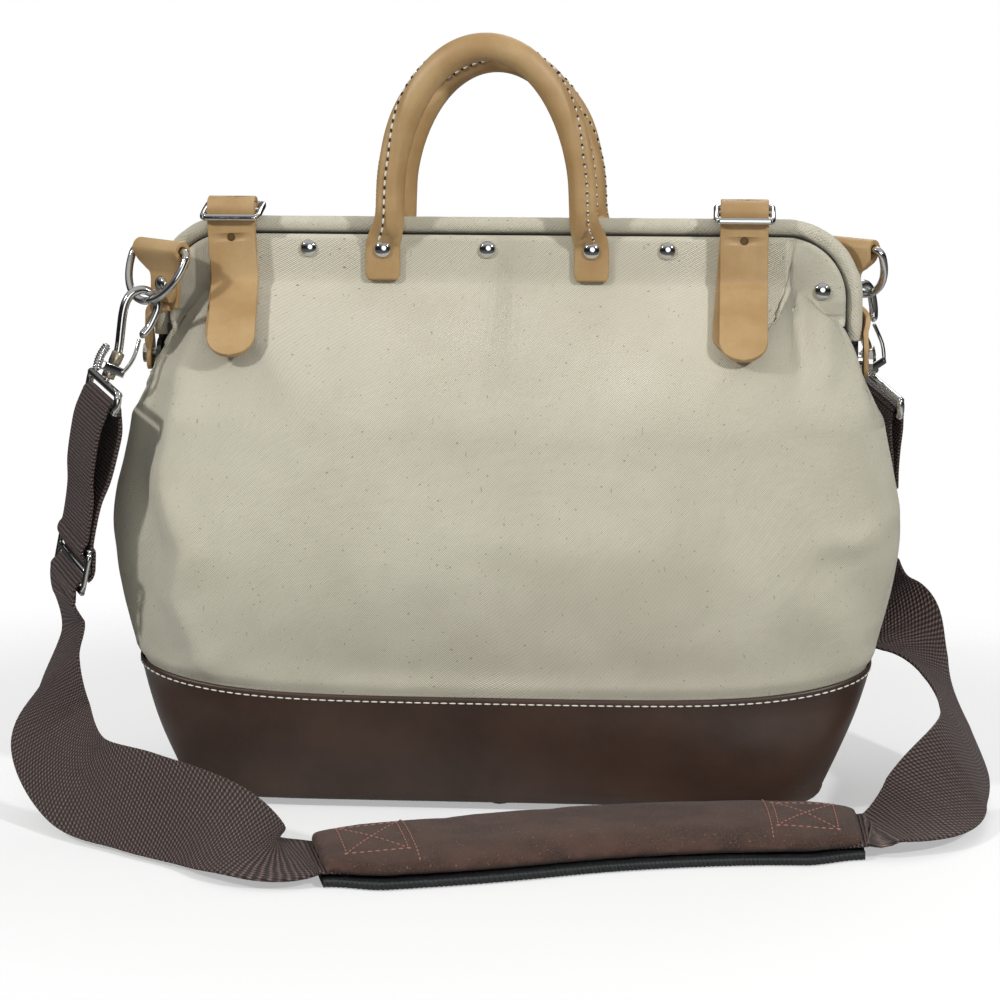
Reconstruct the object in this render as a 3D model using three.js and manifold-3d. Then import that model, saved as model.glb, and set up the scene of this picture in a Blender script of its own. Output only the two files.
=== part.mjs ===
// A canvas tool bag with a hinged steel mouth, two buckled leather closures, two rolled leather
// handles, a vinyl bottom on rubber feet, and a shoulder strap with snap hooks and a pad.
// Millimetres, +Z up, +X to the right, the front faces -Y, and the feet stand on z = 0.
import * as THREE from "three";
import { mergeVertices } from "three/addons/utils/BufferGeometryUtils.js";
import Module from "manifold-3d";

// Thickness of each sheet material, and the clearance that touching pieces keep
const clearance = 0.3;
const canvasThickness = 1.8;
const vinylThickness = 1.6;
const leatherThickness = 2.6;
const sheetSteel = 2;

// Bag body, outside sizes at five heights
const footHeight = 4;
const baseHeight = 12;
const baseLength = 332;
const baseDepth = 118;
const seamHeight = 62;
const seamLength = 376;
const seamDepth = 136;
const bellyHeight = 134;
const bellyLength = 408;
const bellyDepth = 156;
const shoulderHeight = 194;
const shoulderLength = 390;
const shoulderDepth = 132;
const cornerPowerBase = 4.2;
const cornerPowerBelly = 2.7;

// Bottom board and feet
const boardThickness = 3;
const footRadius = 7;
const footStudRadius = 2.2;
const footHeadRadius = 5;
const footHeadThickness = 1.4;
const footInsetX = 30;
const footInsetY = 19;

// Mouth frame: two hinged U-shaped jaws, the back one with a rolled rim
const frameLength = 357;
const railHeight = 298;
const pivotHeight = 226;
const frameCornerRadius = 36;
const rollRadius = 4.5;
const rodRadius = 2.5;
const jawStripWidth = 18;
const jawOffset = 8.3;
const jawSpacing = 4.4;
const lugRadius = 8;
const lugThickness = 2.4;
const pinRadius = 2.4;
const pinHeadRadius = 5;
const pinHeadThickness = 2;

// Dome rivets
const rivetHeadRadius = 4.5;
const rivetHeadHeight = 2.3;
const rivetShankRadius = 1.5;
const rivetClinchRadius = 2.8;
const rivetClinchThickness = 0.7;

// Everything riveted to the rails sits a little left of the middle, as photographed
const hardwareShift = -9;
const railRivetSpacing = 92;
const railRivetDrop = 16;
const cornerRivetX = 162;
const cornerRivetDrop = 36;

// Handles
const handleSpan = 99;
const handleRadius = 7.6;
const handleLegLength = 12;
const frontHandleRise = 95;
const backHandleRise = 88;
const backHandleShift = 4;
const handleTabWidth = 18.5;
const handleTabDrop = 32;
const handleStandOff = 3;

// Buckled closures
const closureSpacing = 131;
const strapWidth = 25;
const chapeDrop = 64;
const chapeProbeDepth = 30;
const tailDrop = 66;
const tailLean = 0.055;
const buckleBarRadius = 1.5;
const buckleWidth = 28.6;
const prongThickness = 2.4;
const strapHoleRadius = 2.4;
const strapHoleSpacing = 16;

// Ring tabs and D-rings, on the left front and right back corners of the frame
const ringWireRadius = 2;
const ringWidth = 42;
const ringDepth = 28;
const ringCorner = 3.5;
const ringTilt = 25;
const tabTopWidth = 34;
const tabNeckWidth = 18;
const tabStripWidth = 14;
const tabRise = 18;
const tabFlapDrop = 9;
const tabYaw = 40;
const tabX = 172;
const tabY = 13;
const tabRivetHeight = 264;

// Snap hooks
const hookWireRadius = 2.3;
const hookBendRadius = 8.4;
const hookSleeveRadius = 3.4;
const hookSleeveLength = 14.5;
const hookLength = 38;
const shankOffset = 1;
const gateStandOff = 4.7;
const eyeWidth = 60;
const eyeHeight = 13;
const eyeWireRadius = 2;
const swivelStudRadius = 1.5;
const gateWireRadius = 1.1;
const leftHookLean = 26;
const rightHookLean = 16;
const leftHookYaw = 24;
const ringPlay = 1.05;
const leftEyeAcross = [0.44, -0.898, 0];
const rightEyeAcross = [0.45, -0.893, 0];

// Webbing, its slide adjuster and the shoulder pad
const webbingWidth = 50;
const webbingThickness = 1.8;
const doubledThickness = 4.6;
const glideWidth = 60;
const glideHeight = 24;
const glideBar = 3.2;
const padWidth = 72;
const padThickness = 9;
const padBaseThickness = 4;

// Edges shorter than this, which booleans leave, are merged.
const smallestEdge = 0.02;

const wasm = await Module();
wasm.setup();

const bag = new THREE.Group();
bag.name = "tool_bag";

const canvasMaterial = new THREE.MeshStandardMaterial({ color: 0xd9d0b8, roughness: 0.95, metalness: 0 });
const vinylMaterial = new THREE.MeshStandardMaterial({ color: 0x3f2a22, roughness: 0.5, metalness: 0 });
const leatherMaterial = new THREE.MeshStandardMaterial({ color: 0xcf9c5e, roughness: 0.55, metalness: 0 });
const steelMaterial = new THREE.MeshStandardMaterial({ color: 0xb9bbbe, roughness: 0.22, metalness: 1 });
const rubberMaterial = new THREE.MeshStandardMaterial({ color: 0x151515, roughness: 0.8, metalness: 0 });
const webbingMaterial = new THREE.MeshStandardMaterial({ color: 0x3b2823, roughness: 0.85, metalness: 0 });
const padMaterial = new THREE.MeshStandardMaterial({ color: 0x46291f, roughness: 0.95, metalness: 0 });
const boardMaterial = new THREE.MeshStandardMaterial({ color: 0x6b5a45, roughness: 0.9, metalness: 0 });

function addPiece(name, geometry, material) {
  const mesh = new THREE.Mesh(geometry, material);
  mesh.name = name;
  bag.add(mesh);
  return mesh;
}

// Closed geometry from rings of equally many points, each ring turning the same way.
// joined makes the last ring meet the first, otherwise both ends are filled.
function loft(rings, joined = false) {
  const count = rings[0].length;
  const positions = rings.flat().flatMap((p) => [p.x, p.y, p.z]);
  const index = [];
  const last = joined ? rings.length : rings.length - 1;
  for (let r = 0; r < last; r++) {
    const next = (r + 1) % rings.length;
    for (let i = 0; i < count; i++) {
      const j = (i + 1) % count;
      const a = r * count + i;
      const b = r * count + j;
      const c = next * count + i;
      const d = next * count + j;
      index.push(a, b, d, a, d, c);
    }
  }
  if (!joined) {
    for (const r of [0, rings.length - 1]) {
      const centre = new THREE.Vector3();
      rings[r].forEach((p) => centre.add(p));
      centre.divideScalar(count);
      const c = positions.length / 3;
      positions.push(centre.x, centre.y, centre.z);
      for (let i = 0; i < count; i++) {
        const a = r * count + i;
        const b = r * count + ((i + 1) % count);
        if (r === 0) index.push(c, b, a);
        else index.push(c, a, b);
      }
    }
  }
  const geometry = new THREE.BufferGeometry();
  geometry.setAttribute("position", new THREE.Float32BufferAttribute(positions, 3));
  geometry.setIndex(index);
  return facingOut(geometry);
}

// Turns a closed geometry's faces outwards when its volume comes out negative.
function facingOut(geometry) {
  const p = geometry.getAttribute("position");
  const index = geometry.index.array;
  const a = new THREE.Vector3();
  const b = new THREE.Vector3();
  const c = new THREE.Vector3();
  let volume = 0;
  for (let i = 0; i < index.length; i += 3) {
    a.fromBufferAttribute(p, index[i]);
    b.fromBufferAttribute(p, index[i + 1]);
    c.fromBufferAttribute(p, index[i + 2]);
    volume += a.dot(b.cross(c));
  }
  if (volume < 0) {
    for (let i = 0; i < index.length; i += 3) {
      [index[i + 1], index[i + 2]] = [index[i + 2], index[i + 1]];
    }
  }
  return geometry;
}

function toSolid(geometry) {
  const bare = new THREE.BufferGeometry();
  bare.setAttribute("position", geometry.getAttribute("position"));
  if (geometry.index) bare.setIndex(geometry.index);
  const merged = mergeVertices(bare, 1e-4);
  return new wasm.Manifold(
    new wasm.Mesh({
      numProp: 3,
      vertProperties: new Float32Array(merged.getAttribute("position").array),
      triVerts: new Uint32Array(merged.index.array),
    }),
  );
}

function toGeometry(solid) {
  const mesh = solid.simplify(smallestEdge).getMesh();
  const geometry = new THREE.BufferGeometry();
  geometry.setAttribute("position", new THREE.BufferAttribute(mesh.vertProperties, 3));
  geometry.setIndex(new THREE.BufferAttribute(mesh.triVerts, 1));
  return geometry;
}

function joinAll(geometries) {
  return toGeometry(geometries.map(toSolid).reduce((sum, next) => sum.add(next)));
}

function cut(geometry, tools) {
  let solid = toSolid(geometry);
  for (const tool of tools) solid = solid.subtract(toSolid(tool));
  return toGeometry(solid);
}

function common(first, second) {
  return toGeometry(toSolid(first).intersect(toSolid(second)));
}

// A round bar between two points.
function bar(from, to, radius, sides = 12) {
  const along = new THREE.Vector3().subVectors(to, from);
  const geometry = new THREE.CylinderGeometry(radius, radius, along.length(), sides);
  const alongY = new THREE.Vector3(0, 1, 0);
  const turn = new THREE.Quaternion().setFromUnitVectors(alongY, along.clone().normalize());
  const middle = new THREE.Vector3().addVectors(from, to).multiplyScalar(0.5);
  geometry.applyQuaternion(turn);
  geometry.translate(middle.x, middle.y, middle.z);
  return geometry;
}

// A round wire along a curve, with open ends filled, or closed on itself.
function wire(curve, radius, steps, sides, closed = false) {
  const frames = curve.computeFrenetFrames(steps, closed);
  const rings = [];
  const count = closed ? steps : steps + 1;
  for (let k = 0; k < count; k++) {
    const centre = curve.getPointAt(k / steps);
    const ring = [];
    for (let i = 0; i < sides; i++) {
      const angle = ((i + 0.5) / sides) * Math.PI * 2;
      const p = centre.clone();
      p.addScaledVector(frames.normals[k], radius * Math.cos(angle));
      p.addScaledVector(frames.binormals[k], radius * Math.sin(angle));
      ring.push(p);
    }
    rings.push(ring);
  }
  return loft(rings, closed);
}

// Smooth value of a table of [key, value] rows.
function tableValue(table, key) {
  const last = table.length - 1;
  let i = 0;
  while (i < last - 1 && key > table[i + 1][0]) i++;
  const slope = (k) => {
    const a = Math.max(k - 1, 0);
    const b = Math.min(k + 1, last);
    return (table[b][1] - table[a][1]) / (table[b][0] - table[a][0]);
  };
  const h = table[i + 1][0] - table[i][0];
  const t = (key - table[i][0]) / h;
  const t2 = t * t;
  const t3 = t2 * t;
  return (
    table[i][1] * (2 * t3 - 3 * t2 + 1) +
    slope(i) * h * (t3 - 2 * t2 + t) +
    table[i + 1][1] * (3 * t2 - 2 * t3) +
    slope(i + 1) * h * (t3 - t2)
  );
}

const halfLengths = [
  [baseHeight, baseLength / 2],
  [seamHeight, seamLength / 2],
  [bellyHeight, bellyLength / 2],
  [shoulderHeight, shoulderLength / 2],
];
const halfDepths = [
  [baseHeight, baseDepth / 2],
  [seamHeight, seamDepth / 2],
  [bellyHeight, bellyDepth / 2],
  [shoulderHeight, shoulderDepth / 2],
];
const cornerPowers = [
  [baseHeight, cornerPowerBase],
  [bellyHeight, cornerPowerBelly],
  [shoulderHeight, cornerPowerBelly],
];

// A point of the bag's outside at a height and an angle, drawn in by inset.
function bodyPoint(z, angle, inset = 0) {
  const height = Math.max(z, baseHeight);
  const power = 2 / tableValue(cornerPowers, height);
  const a = tableValue(halfLengths, height) - inset;
  const b = tableValue(halfDepths, height) - inset;
  const c = Math.cos(angle);
  const s = Math.sin(angle);
  return new THREE.Vector3(
    a * Math.sign(c) * Math.abs(c) ** power,
    b * Math.sign(s) * Math.abs(s) ** power,
    z,
  );
}

const bodySides = 40;

function bodyRing(z, inset, shrink = 1) {
  const ring = [];
  for (let i = 0; i < bodySides; i++) {
    const p = bodyPoint(z, (i / bodySides) * Math.PI * 2, inset);
    ring.push(new THREE.Vector3(p.x * shrink, p.y * shrink, z));
  }
  return ring;
}

// Where the feet stand, as [name, x, y].
const footRows = [];
for (const [side, y] of [["front", -1], ["back", 1]]) {
  for (const [end, x] of [["left", -1], ["middle", 0], ["right", 1]]) {
    footRows.push([
      "foot_" + side + "_" + end,
      x * (baseLength / 2 - footInsetX),
      y * (baseDepth / 2 - footInsetY),
    ]);
  }
}

const floorHeight = footHeight + vinylThickness;
const boardTop = floorHeight + clearance + boardThickness;

function footHoles() {
  return footRows.map(([, x, y]) =>
    bar(
      new THREE.Vector3(x, y, footHeight - 1),
      new THREE.Vector3(x, y, boardTop + 1),
      footStudRadius + clearance,
    ),
  );
}

function bottomCover() {
  const outside = [footHeight, footHeight + 2, baseHeight, 24, 40, seamHeight];
  const shrink = [0.955, 0.985, 1, 1, 1, 1];
  const rings = outside.map((z, i) => bodyRing(z, 0, shrink[i]));
  const inside = [seamHeight, 40, 24, baseHeight, floorHeight + 1.5, floorHeight];
  const insideShrink = [1, 1, 1, 1, 0.985, 0.955];
  inside.forEach((z, i) => rings.push(bodyRing(z, vinylThickness, insideShrink[i])));
  addPiece("bottom_cover", cut(loft(rings), footHoles()), vinylMaterial);
}

function bottomBoard() {
  const inset = vinylThickness + canvasThickness + 2 * clearance + 1;
  const low = floorHeight + clearance;
  const shrink = 0.945;
  const rings = [bodyRing(low, inset, shrink), bodyRing(boardTop, inset, shrink)];
  addPiece("bottom_board", cut(loft(rings), footHoles()), boardMaterial);
}

function feet() {
  const top = footHeight - clearance;
  const headLow = boardTop + clearance;
  const profile = [
    [0, 0],
    [footRadius * 0.7, 0],
    [footRadius * 0.93, top * 0.3],
    [footRadius, top * 0.75],
    [footRadius * 0.9, top],
    [footStudRadius, top],
    [footStudRadius, headLow],
    [footHeadRadius, headLow],
    [footHeadRadius, headLow + footHeadThickness],
    [0, headLow + footHeadThickness],
  ].map(([r, z]) => new THREE.Vector2(r, z));
  for (const [name, x, y] of footRows) {
    const foot = new THREE.LatheGeometry(profile, 12);
    foot.rotateX(Math.PI / 2);
    foot.translate(x, y, 0);
    addPiece(name, facingOutLathe(foot), rubberMaterial);
  }
}

// A lathe's seam doubles its vertices, so they are merged before its faces are turned outwards.
function facingOutLathe(geometry) {
  const bare = new THREE.BufferGeometry();
  bare.setAttribute("position", geometry.getAttribute("position"));
  bare.setIndex(geometry.index);
  return facingOut(mergeVertices(bare, 1e-4));
}

// The canvas below the shoulder: one wall all round, tucked inside the vinyl up to the seam.
function canvasBody() {
  const tuck = vinylThickness + clearance;
  const rows = [
    [floorHeight + 8, tuck],
    [seamHeight * 0.6, tuck],
    [seamHeight + clearance, tuck],
    [seamHeight + 3, 0],
    [seamHeight * 0.55 + bellyHeight * 0.45, 0],
    [bellyHeight, 0],
    [bellyHeight * 0.5 + shoulderHeight * 0.5, 0],
    [shoulderHeight - clearance, 0],
  ];
  const rings = rows.map(([z, inset]) => bodyRing(z, inset));
  for (const [z, inset] of rows.slice().reverse()) {
    rings.push(bodyRing(z, inset + canvasThickness));
  }
  addPiece("canvas_body", loft(rings, true), canvasMaterial);
}

// Stations round the mouth, from the left pivot over the top to the right pivot.
// Each has its place on the rim's centre line and the outward normal, both in the XZ plane.
function rimStations(legEnd = pivotHeight, topSteps = 1) {
  const half = frameLength / 2;
  const top = railHeight - rollRadius;
  const r = frameCornerRadius;
  const stations = [];
  const add = (x, z, nx, nz) => stations.push({ x, z, nx, nz });
  const legSteps = 3;
  const cornerSteps = 7;
  for (let i = 0; i < legSteps; i++) {
    add(-half, legEnd + ((top - r - legEnd) * i) / legSteps, -1, 0);
  }
  for (let i = 0; i < cornerSteps; i++) {
    const t = Math.PI - (i / cornerSteps) * (Math.PI / 2);
    add(-half + r + r * Math.cos(t), top - r + r * Math.sin(t), Math.cos(t), Math.sin(t));
  }
  for (let i = 0; i <= topSteps; i++) {
    add(-half + r + ((2 * half - 2 * r) * i) / topSteps, top, 0, 1);
  }
  for (let i = 1; i <= cornerSteps; i++) {
    const t = Math.PI / 2 - (i / cornerSteps) * (Math.PI / 2);
    add(half - r + r * Math.cos(t), top - r + r * Math.sin(t), Math.cos(t), Math.sin(t));
  }
  for (let i = 1; i <= legSteps; i++) {
    add(half, top - r + ((legEnd - (top - r)) * i) / legSteps, 1, 0);
  }
  return stations;
}

// A point off the rim's centre line: out along the station's normal, and y.
function rimPoint(station, out, y) {
  return new THREE.Vector3(station.x + station.nx * out, y, station.z + station.nz * out);
}

const backJawY = jawSpacing / 2;
const frontJawY = -jawSpacing / 2;
const hemInside = jawSpacing / 2 + sheetSteel / 2 + clearance;
const hemOutside = hemInside + canvasThickness;
const backLugX = frameLength / 2 + 1;
const frontLugX = backLugX - lugThickness - 3;

function frontJawSolid() {
  const outer = -jawOffset;
  const inner = outer - jawStripWidth;
  const low = frontJawY - sheetSteel / 2;
  const high = frontJawY + sheetSteel / 2;
  const strip = loft(
    rimStations().map((s) => [
      rimPoint(s, outer, low),
      rimPoint(s, outer, high),
      rimPoint(s, inner, high),
      rimPoint(s, inner, low),
    ]),
  );
  const pieces = [strip];
  for (const side of [-1, 1]) {
    const legX = side * (frameLength / 2 + outer - 4);
    const lugX = side * frontLugX;
    const arm = new THREE.BoxGeometry(Math.abs(lugX - legX) + lugThickness / 2, sheetSteel, 16);
    arm.translate((lugX + legX) / 2 + (side * lugThickness) / 4, frontJawY, pivotHeight + 8);
    pieces.push(arm, lug(lugX));
  }
  const recess = [-1, 1].map((side) =>
    bar(
      new THREE.Vector3(side * (frontLugX - 9), 0, pivotHeight),
      new THREE.Vector3(side * (frontLugX - lugThickness / 2), 0, pivotHeight),
      pinHeadRadius * 0.8 + clearance,
      14,
    ),
  );
  return cut(joinAll(pieces), [...pinHoles(), ...recess]);
}

function lug(x) {
  return bar(
    new THREE.Vector3(x - lugThickness / 2, 0, pivotHeight),
    new THREE.Vector3(x + lugThickness / 2, 0, pivotHeight),
    lugRadius,
    20,
  );
}

function pinHoles() {
  const reach = frameLength / 2 + 20;
  return [-1, 1].map((side) =>
    bar(
      new THREE.Vector3(side * (reach - 60), 0, pivotHeight),
      new THREE.Vector3(side * reach, 0, pivotHeight),
      pinRadius + clearance,
      16,
    ),
  );
}

function backJawSolid() {
  const inner = -jawOffset - jawStripWidth;
  const low = backJawY - sheetSteel / 2;
  const high = backJawY + sheetSteel / 2;
  const arc = 6;
  const rings = rimStations().map((s) => {
    const ring = [rimPoint(s, inner, low), rimPoint(s, inner, high)];
    const start = Math.asin(sheetSteel / 2 / rodRadius);
    for (let i = 0; i <= arc; i++) {
      const t = start + ((2 * Math.PI - 2 * start) * i) / arc;
      ring.push(rimPoint(s, -rodRadius * Math.cos(t), backJawY + rodRadius * Math.sin(t)));
    }
    return ring;
  });
  const reliefTop = pivotHeight + lugRadius + 2 * clearance;
  const reliefOut = frontLugX + lugThickness / 2 + clearance;
  const reliefIn = frameLength / 2 + inner - 1;
  const relief = [-1, 1].map((side) => {
    const box = new THREE.BoxGeometry(reliefOut - reliefIn, 4 * sheetSteel, 3 * lugRadius);
    box.translate((side * (reliefOut + reliefIn)) / 2, backJawY, reliefTop - 1.5 * lugRadius);
    return box;
  });
  const pieces = [cut(loft(rings), relief)];
  for (const side of [-1, 1]) pieces.push(lug(side * backLugX));
  return cut(joinAll(pieces), pinHoles());
}

function rollSolid() {
  const inside = rodRadius + clearance;
  const outsideStart = Math.asin((sheetSteel / 2 + clearance) / rollRadius);
  const insideStart = Math.asin((sheetSteel / 2 + clearance) / inside);
  const arc = 7;
  return loft(
    rimStations(pivotHeight + lugRadius + 2).map((s) => {
      const ring = [];
      for (let i = 0; i <= arc; i++) {
        const t = outsideStart + ((2 * Math.PI - 2 * outsideStart) * i) / arc;
        ring.push(rimPoint(s, -rollRadius * Math.cos(t), backJawY + rollRadius * Math.sin(t)));
      }
      for (let i = arc; i >= 0; i--) {
        const t = insideStart + ((2 * Math.PI - 2 * insideStart) * i) / arc;
        ring.push(rimPoint(s, -inside * Math.cos(t), backJawY + inside * Math.sin(t)));
      }
      return ring;
    }),
  );
}

// Where the canvas edge runs past a hinge, as [x, distance from the middle plane, z] on the right.
// It starts below the hinge, comes forward past it and rises to the jaw's leg.
function hingeEdge(edge) {
  const half = frameLength / 2;
  const past = lugRadius + clearance + canvasThickness + 0.2;
  return [
    [half + 5, clearance / 2, pivotHeight - lugRadius - 4],
    [half + 4, past, pivotHeight - lugRadius - 2],
    [half - 1, past + 0.4, pivotHeight + 2],
    [half - edge, past, pivotHeight + lugRadius + 3],
  ];
}

// One half of the canvas above the shoulder, from the body's edge up to the jaw.
// side is -1 for the front and 1 for the back; edge is how far in from the rim its hem ends.
function shoulderSolid(side, edge) {
  const rise = 5;
  const hemReach = jawOffset + jawStripWidth + 2 - edge;
  const columns = [];
  const hingeColumn = (end, [x, y, z], order) => {
    const edgePoint = new THREE.Vector3(end * x, side * y, z);
    const into = new THREE.Vector3(order > 1 ? -end * 0.5 : 0, 0, 1).normalize();
    const inward = order === 0 ? new THREE.Vector3(-end, 0, 0) : new THREE.Vector3(0, -side, 0);
    return { edgePoint, hem: edgePoint.clone().addScaledVector(into, -3), into, inward };
  };
  hingeEdge(edge).forEach((row, i) => columns.push(hingeColumn(-1, row, i)));
  const stations = rimStations(pivotHeight + lugRadius + 13, 10);
  stations.forEach((s, i) => {
    const share = Math.min(1, (Math.min(i, stations.length - 1 - i) + 1) / 6);
    columns.push({
      edgePoint: rimPoint(s, -edge, side * hemOutside),
      hem: rimPoint(s, -edge - 3 - (hemReach - 3) * share, side * hemOutside),
      into: new THREE.Vector3(-s.nx * (1 - share), -side * 0.5 * share, 0.4 + 0.45 * share),
      inward: new THREE.Vector3(0, -side, 0),
    });
  });
  hingeEdge(edge).reverse().forEach((row, i) => columns.push(hingeColumn(1, row, 3 - i)));
  const last = columns.length - 1;
  const outerRows = [];
  for (let r = 0; r <= rise; r++) {
    const v = r / rise;
    outerRows.push(
      columns.map(({ hem, into }, i) => {
        const angle = Math.PI * (1 - (side * i) / last);
        const low = bodyPoint(shoulderHeight, angle);
        if (i === 0 || i === last) low.y = (side * clearance) / 2;
        const rising = new THREE.Vector3().subVectors(low, bodyPoint(shoulderHeight - 6, angle)).normalize();
        const span = low.distanceTo(hem);
        const p = low.multiplyScalar(2 * v ** 3 - 3 * v ** 2 + 1);
        p.addScaledVector(rising, (v ** 3 - 2 * v ** 2 + v) * span * 0.9);
        p.addScaledVector(hem, 3 * v ** 2 - 2 * v ** 3);
        p.addScaledVector(into, (v ** 3 - v ** 2) * span * 0.7);
        if (i === 0 || i === last) p.y = (side * clearance) / 2;
        return p;
      }),
    );
  }
  outerRows.push(columns.map(({ edgePoint }) => edgePoint));
  const innerRows = outerRows.map((row, r) =>
    row.map((p, i) => {
      if (r >= rise || i === 0 || i === last) {
        return p.clone().addScaledVector(columns[i].inward, canvasThickness);
      }
      if (r === 0) return bodyPoint(shoulderHeight, Math.PI * (1 - (side * i) / last), canvasThickness);
      const across = new THREE.Vector3().subVectors(row[i + 1], row[i - 1]);
      const up = new THREE.Vector3().subVectors(outerRows[r + 1][i], outerRows[Math.max(r - 1, 0)][i]);
      return p.clone().addScaledVector(across.cross(up).normalize(), side * canvasThickness);
    }),
  );
  return closeSheet(outerRows, innerRows);
}

// One closed solid from the two faces of a sheet.
function closeSheet(outerRows, innerRows) {
  const rings = [];
  const last = outerRows[0].length - 1;
  for (let i = 0; i <= last; i++) {
    const ring = outerRows.map((row) => row[i]);
    for (const row of innerRows.slice().reverse()) ring.push(row[i]);
    rings.push(ring);
  }
  return loft(rings);
}

// A dome rivet on the Z axis: its head's underside at z = 0, its shank going down by grip.
function rivet(grip) {
  const profile = [
    [0, -grip - rivetClinchThickness],
    [rivetClinchRadius, -grip - rivetClinchThickness],
    [rivetClinchRadius, -grip],
    [rivetShankRadius, -grip],
    [rivetShankRadius, 0],
    [rivetHeadRadius, 0],
    [rivetHeadRadius * 0.75, rivetHeadHeight * 0.68],
    [0, rivetHeadHeight],
  ].map(([r, z]) => new THREE.Vector2(r, z));
  const geometry = new THREE.LatheGeometry(profile, 9);
  geometry.rotateX(Math.PI / 2);
  return facingOutLathe(geometry);
}

// Rivets through a rail: side is -1 for the front, and cover is what lies over the canvas.
const railRivets = [];
function railRivet(name, side, x, z, cover = 0) {
  const outside = hemOutside + clearance + cover;
  const inside = jawSpacing / 2 - sheetSteel / 2 - clearance;
  const geometry = rivet(outside - inside);
  geometry.rotateX((-side * Math.PI) / 2);
  geometry.translate(x, side * outside, z);
  railRivets.push({ side, x, z });
  addPiece(name, geometry, steelMaterial);
}

function rivetHoles(side) {
  return railRivets
    .filter((r) => r.side === side)
    .map((r) =>
      bar(
        new THREE.Vector3(r.x, side * 0.2, r.z),
        new THREE.Vector3(r.x, side * 24, r.z),
        rivetShankRadius + clearance,
        10,
      ),
    );
}

// A flat outline in the XZ plane, made solid between two distances from the middle plane.
function facePlate(shape, side, inner, outer) {
  const options = { depth: outer - inner, bevelEnabled: false, curveSegments: 6 };
  const geometry = new THREE.ExtrudeGeometry(shape, options);
  geometry.rotateX(Math.PI / 2);
  geometry.translate(0, side > 0 ? outer : -inner, 0);
  return geometry;
}

// Handles: a rolled leather tube that flattens into a riveted tab at each end.
const railTop = railHeight - rollRadius - jawOffset;
const railRivetHeight = railHeight - railRivetDrop;

function handleSolid(side, rise, shift) {
  const centreX = hardwareShift + shift;
  const half = handleSpan / 2;
  const tabInner = hemOutside + clearance;
  const rollClear = side > 0 ? jawSpacing / 2 + rollRadius + clearance : tabInner - handleStandOff;
  const tubeY = side * (rollClear + handleRadius);
  const low = railTop + 8;
  const top = railHeight + rise - handleRadius;
  const path = [];
  const turn = low + handleLegLength;
  const arcSteps = 14;
  path.push(new THREE.Vector3(centreX - half, tubeY, low));
  for (let i = 0; i <= arcSteps; i++) {
    const t = Math.PI - (i / arcSteps) * Math.PI;
    path.push(new THREE.Vector3(centreX + half * Math.cos(t), tubeY, turn + (top - turn) * Math.sin(t)));
  }
  path.push(new THREE.Vector3(centreX + half, tubeY, low));
  const pieces = [wire(new THREE.CatmullRomCurve3(path), handleRadius, 24, 10)];
  for (const end of [-1, 1]) {
    const x = centreX + end * half;
    const tabCentre = x + end * 4;
    const w = handleTabWidth / 2;
    const bottom = railRivetHeight - handleTabDrop / 2;
    const shape = new THREE.Shape();
    shape.moveTo(tabCentre - w, bottom + 5);
    shape.lineTo(tabCentre - w + 4, bottom);
    shape.lineTo(tabCentre + w - 4, bottom);
    shape.lineTo(tabCentre + w, bottom + 5);
    shape.lineTo(tabCentre + w, railRivetHeight + 2);
    shape.lineTo(x + handleRadius, low - 4);
    shape.lineTo(x - handleRadius, low - 4);
    shape.lineTo(tabCentre - w, railRivetHeight + 2);
    shape.closePath();
    pieces.push(facePlate(shape, side, tabInner, tabInner + leatherThickness));
    // The neck joins the flat tab to the tube.
    const ring = (z, y0, y1, halfWidth) => [
      new THREE.Vector3(x - halfWidth, side * y0, z),
      new THREE.Vector3(x + halfWidth, side * y0, z),
      new THREE.Vector3(x + halfWidth, side * y1, z),
      new THREE.Vector3(x - halfWidth, side * y1, z),
    ];
    const far = Math.abs(tubeY);
    pieces.push(
      loft([
        ring(low - 5, tabInner, tabInner + leatherThickness, handleRadius),
        ring(low - 0.5, rollClear + 0.2, far + handleRadius * 0.6, handleRadius * 0.75),
        ring(low + 8, far - handleRadius * 0.6, far + handleRadius * 0.6, handleRadius * 0.7),
      ]),
    );
  }
  const holes = [-1, 1].map((end) =>
    bar(
      new THREE.Vector3(centreX + end * (half + 4), side * 2, railRivetHeight),
      new THREE.Vector3(centreX + end * (half + 4), side * 30, railRivetHeight),
      rivetShankRadius + clearance,
      10,
    ),
  );
  return cut(joinAll(pieces), holes);
}

function handles() {
  for (const [name, side, rise, shift] of [
    ["front", -1, frontHandleRise, 0],
    ["back", 1, backHandleRise, backHandleShift],
  ]) {
    addPiece("handle_" + name, handleSolid(side, rise, shift), leatherMaterial);
    for (const [end, sign] of [["left", -1], ["right", 1]]) {
      const x = hardwareShift + shift + sign * (handleSpan / 2 + 4);
      railRivet("handle_rivet_" + name + "_" + end, side, x, railRivetHeight, leatherThickness + clearance);
    }
  }
}

function plainRivets() {
  for (const [name, side] of [["front", -1], ["back", 1]]) {
    for (const [place, k] of [["left", -1], ["middle", 0], ["right", 1]]) {
      const x = hardwareShift + k * railRivetSpacing;
      railRivet("rail_rivet_" + name + "_" + place, side, x, railRivetHeight);
    }
  }
  railRivet("corner_rivet_front", -1, cornerRivetX, railHeight - cornerRivetDrop);
}

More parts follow.
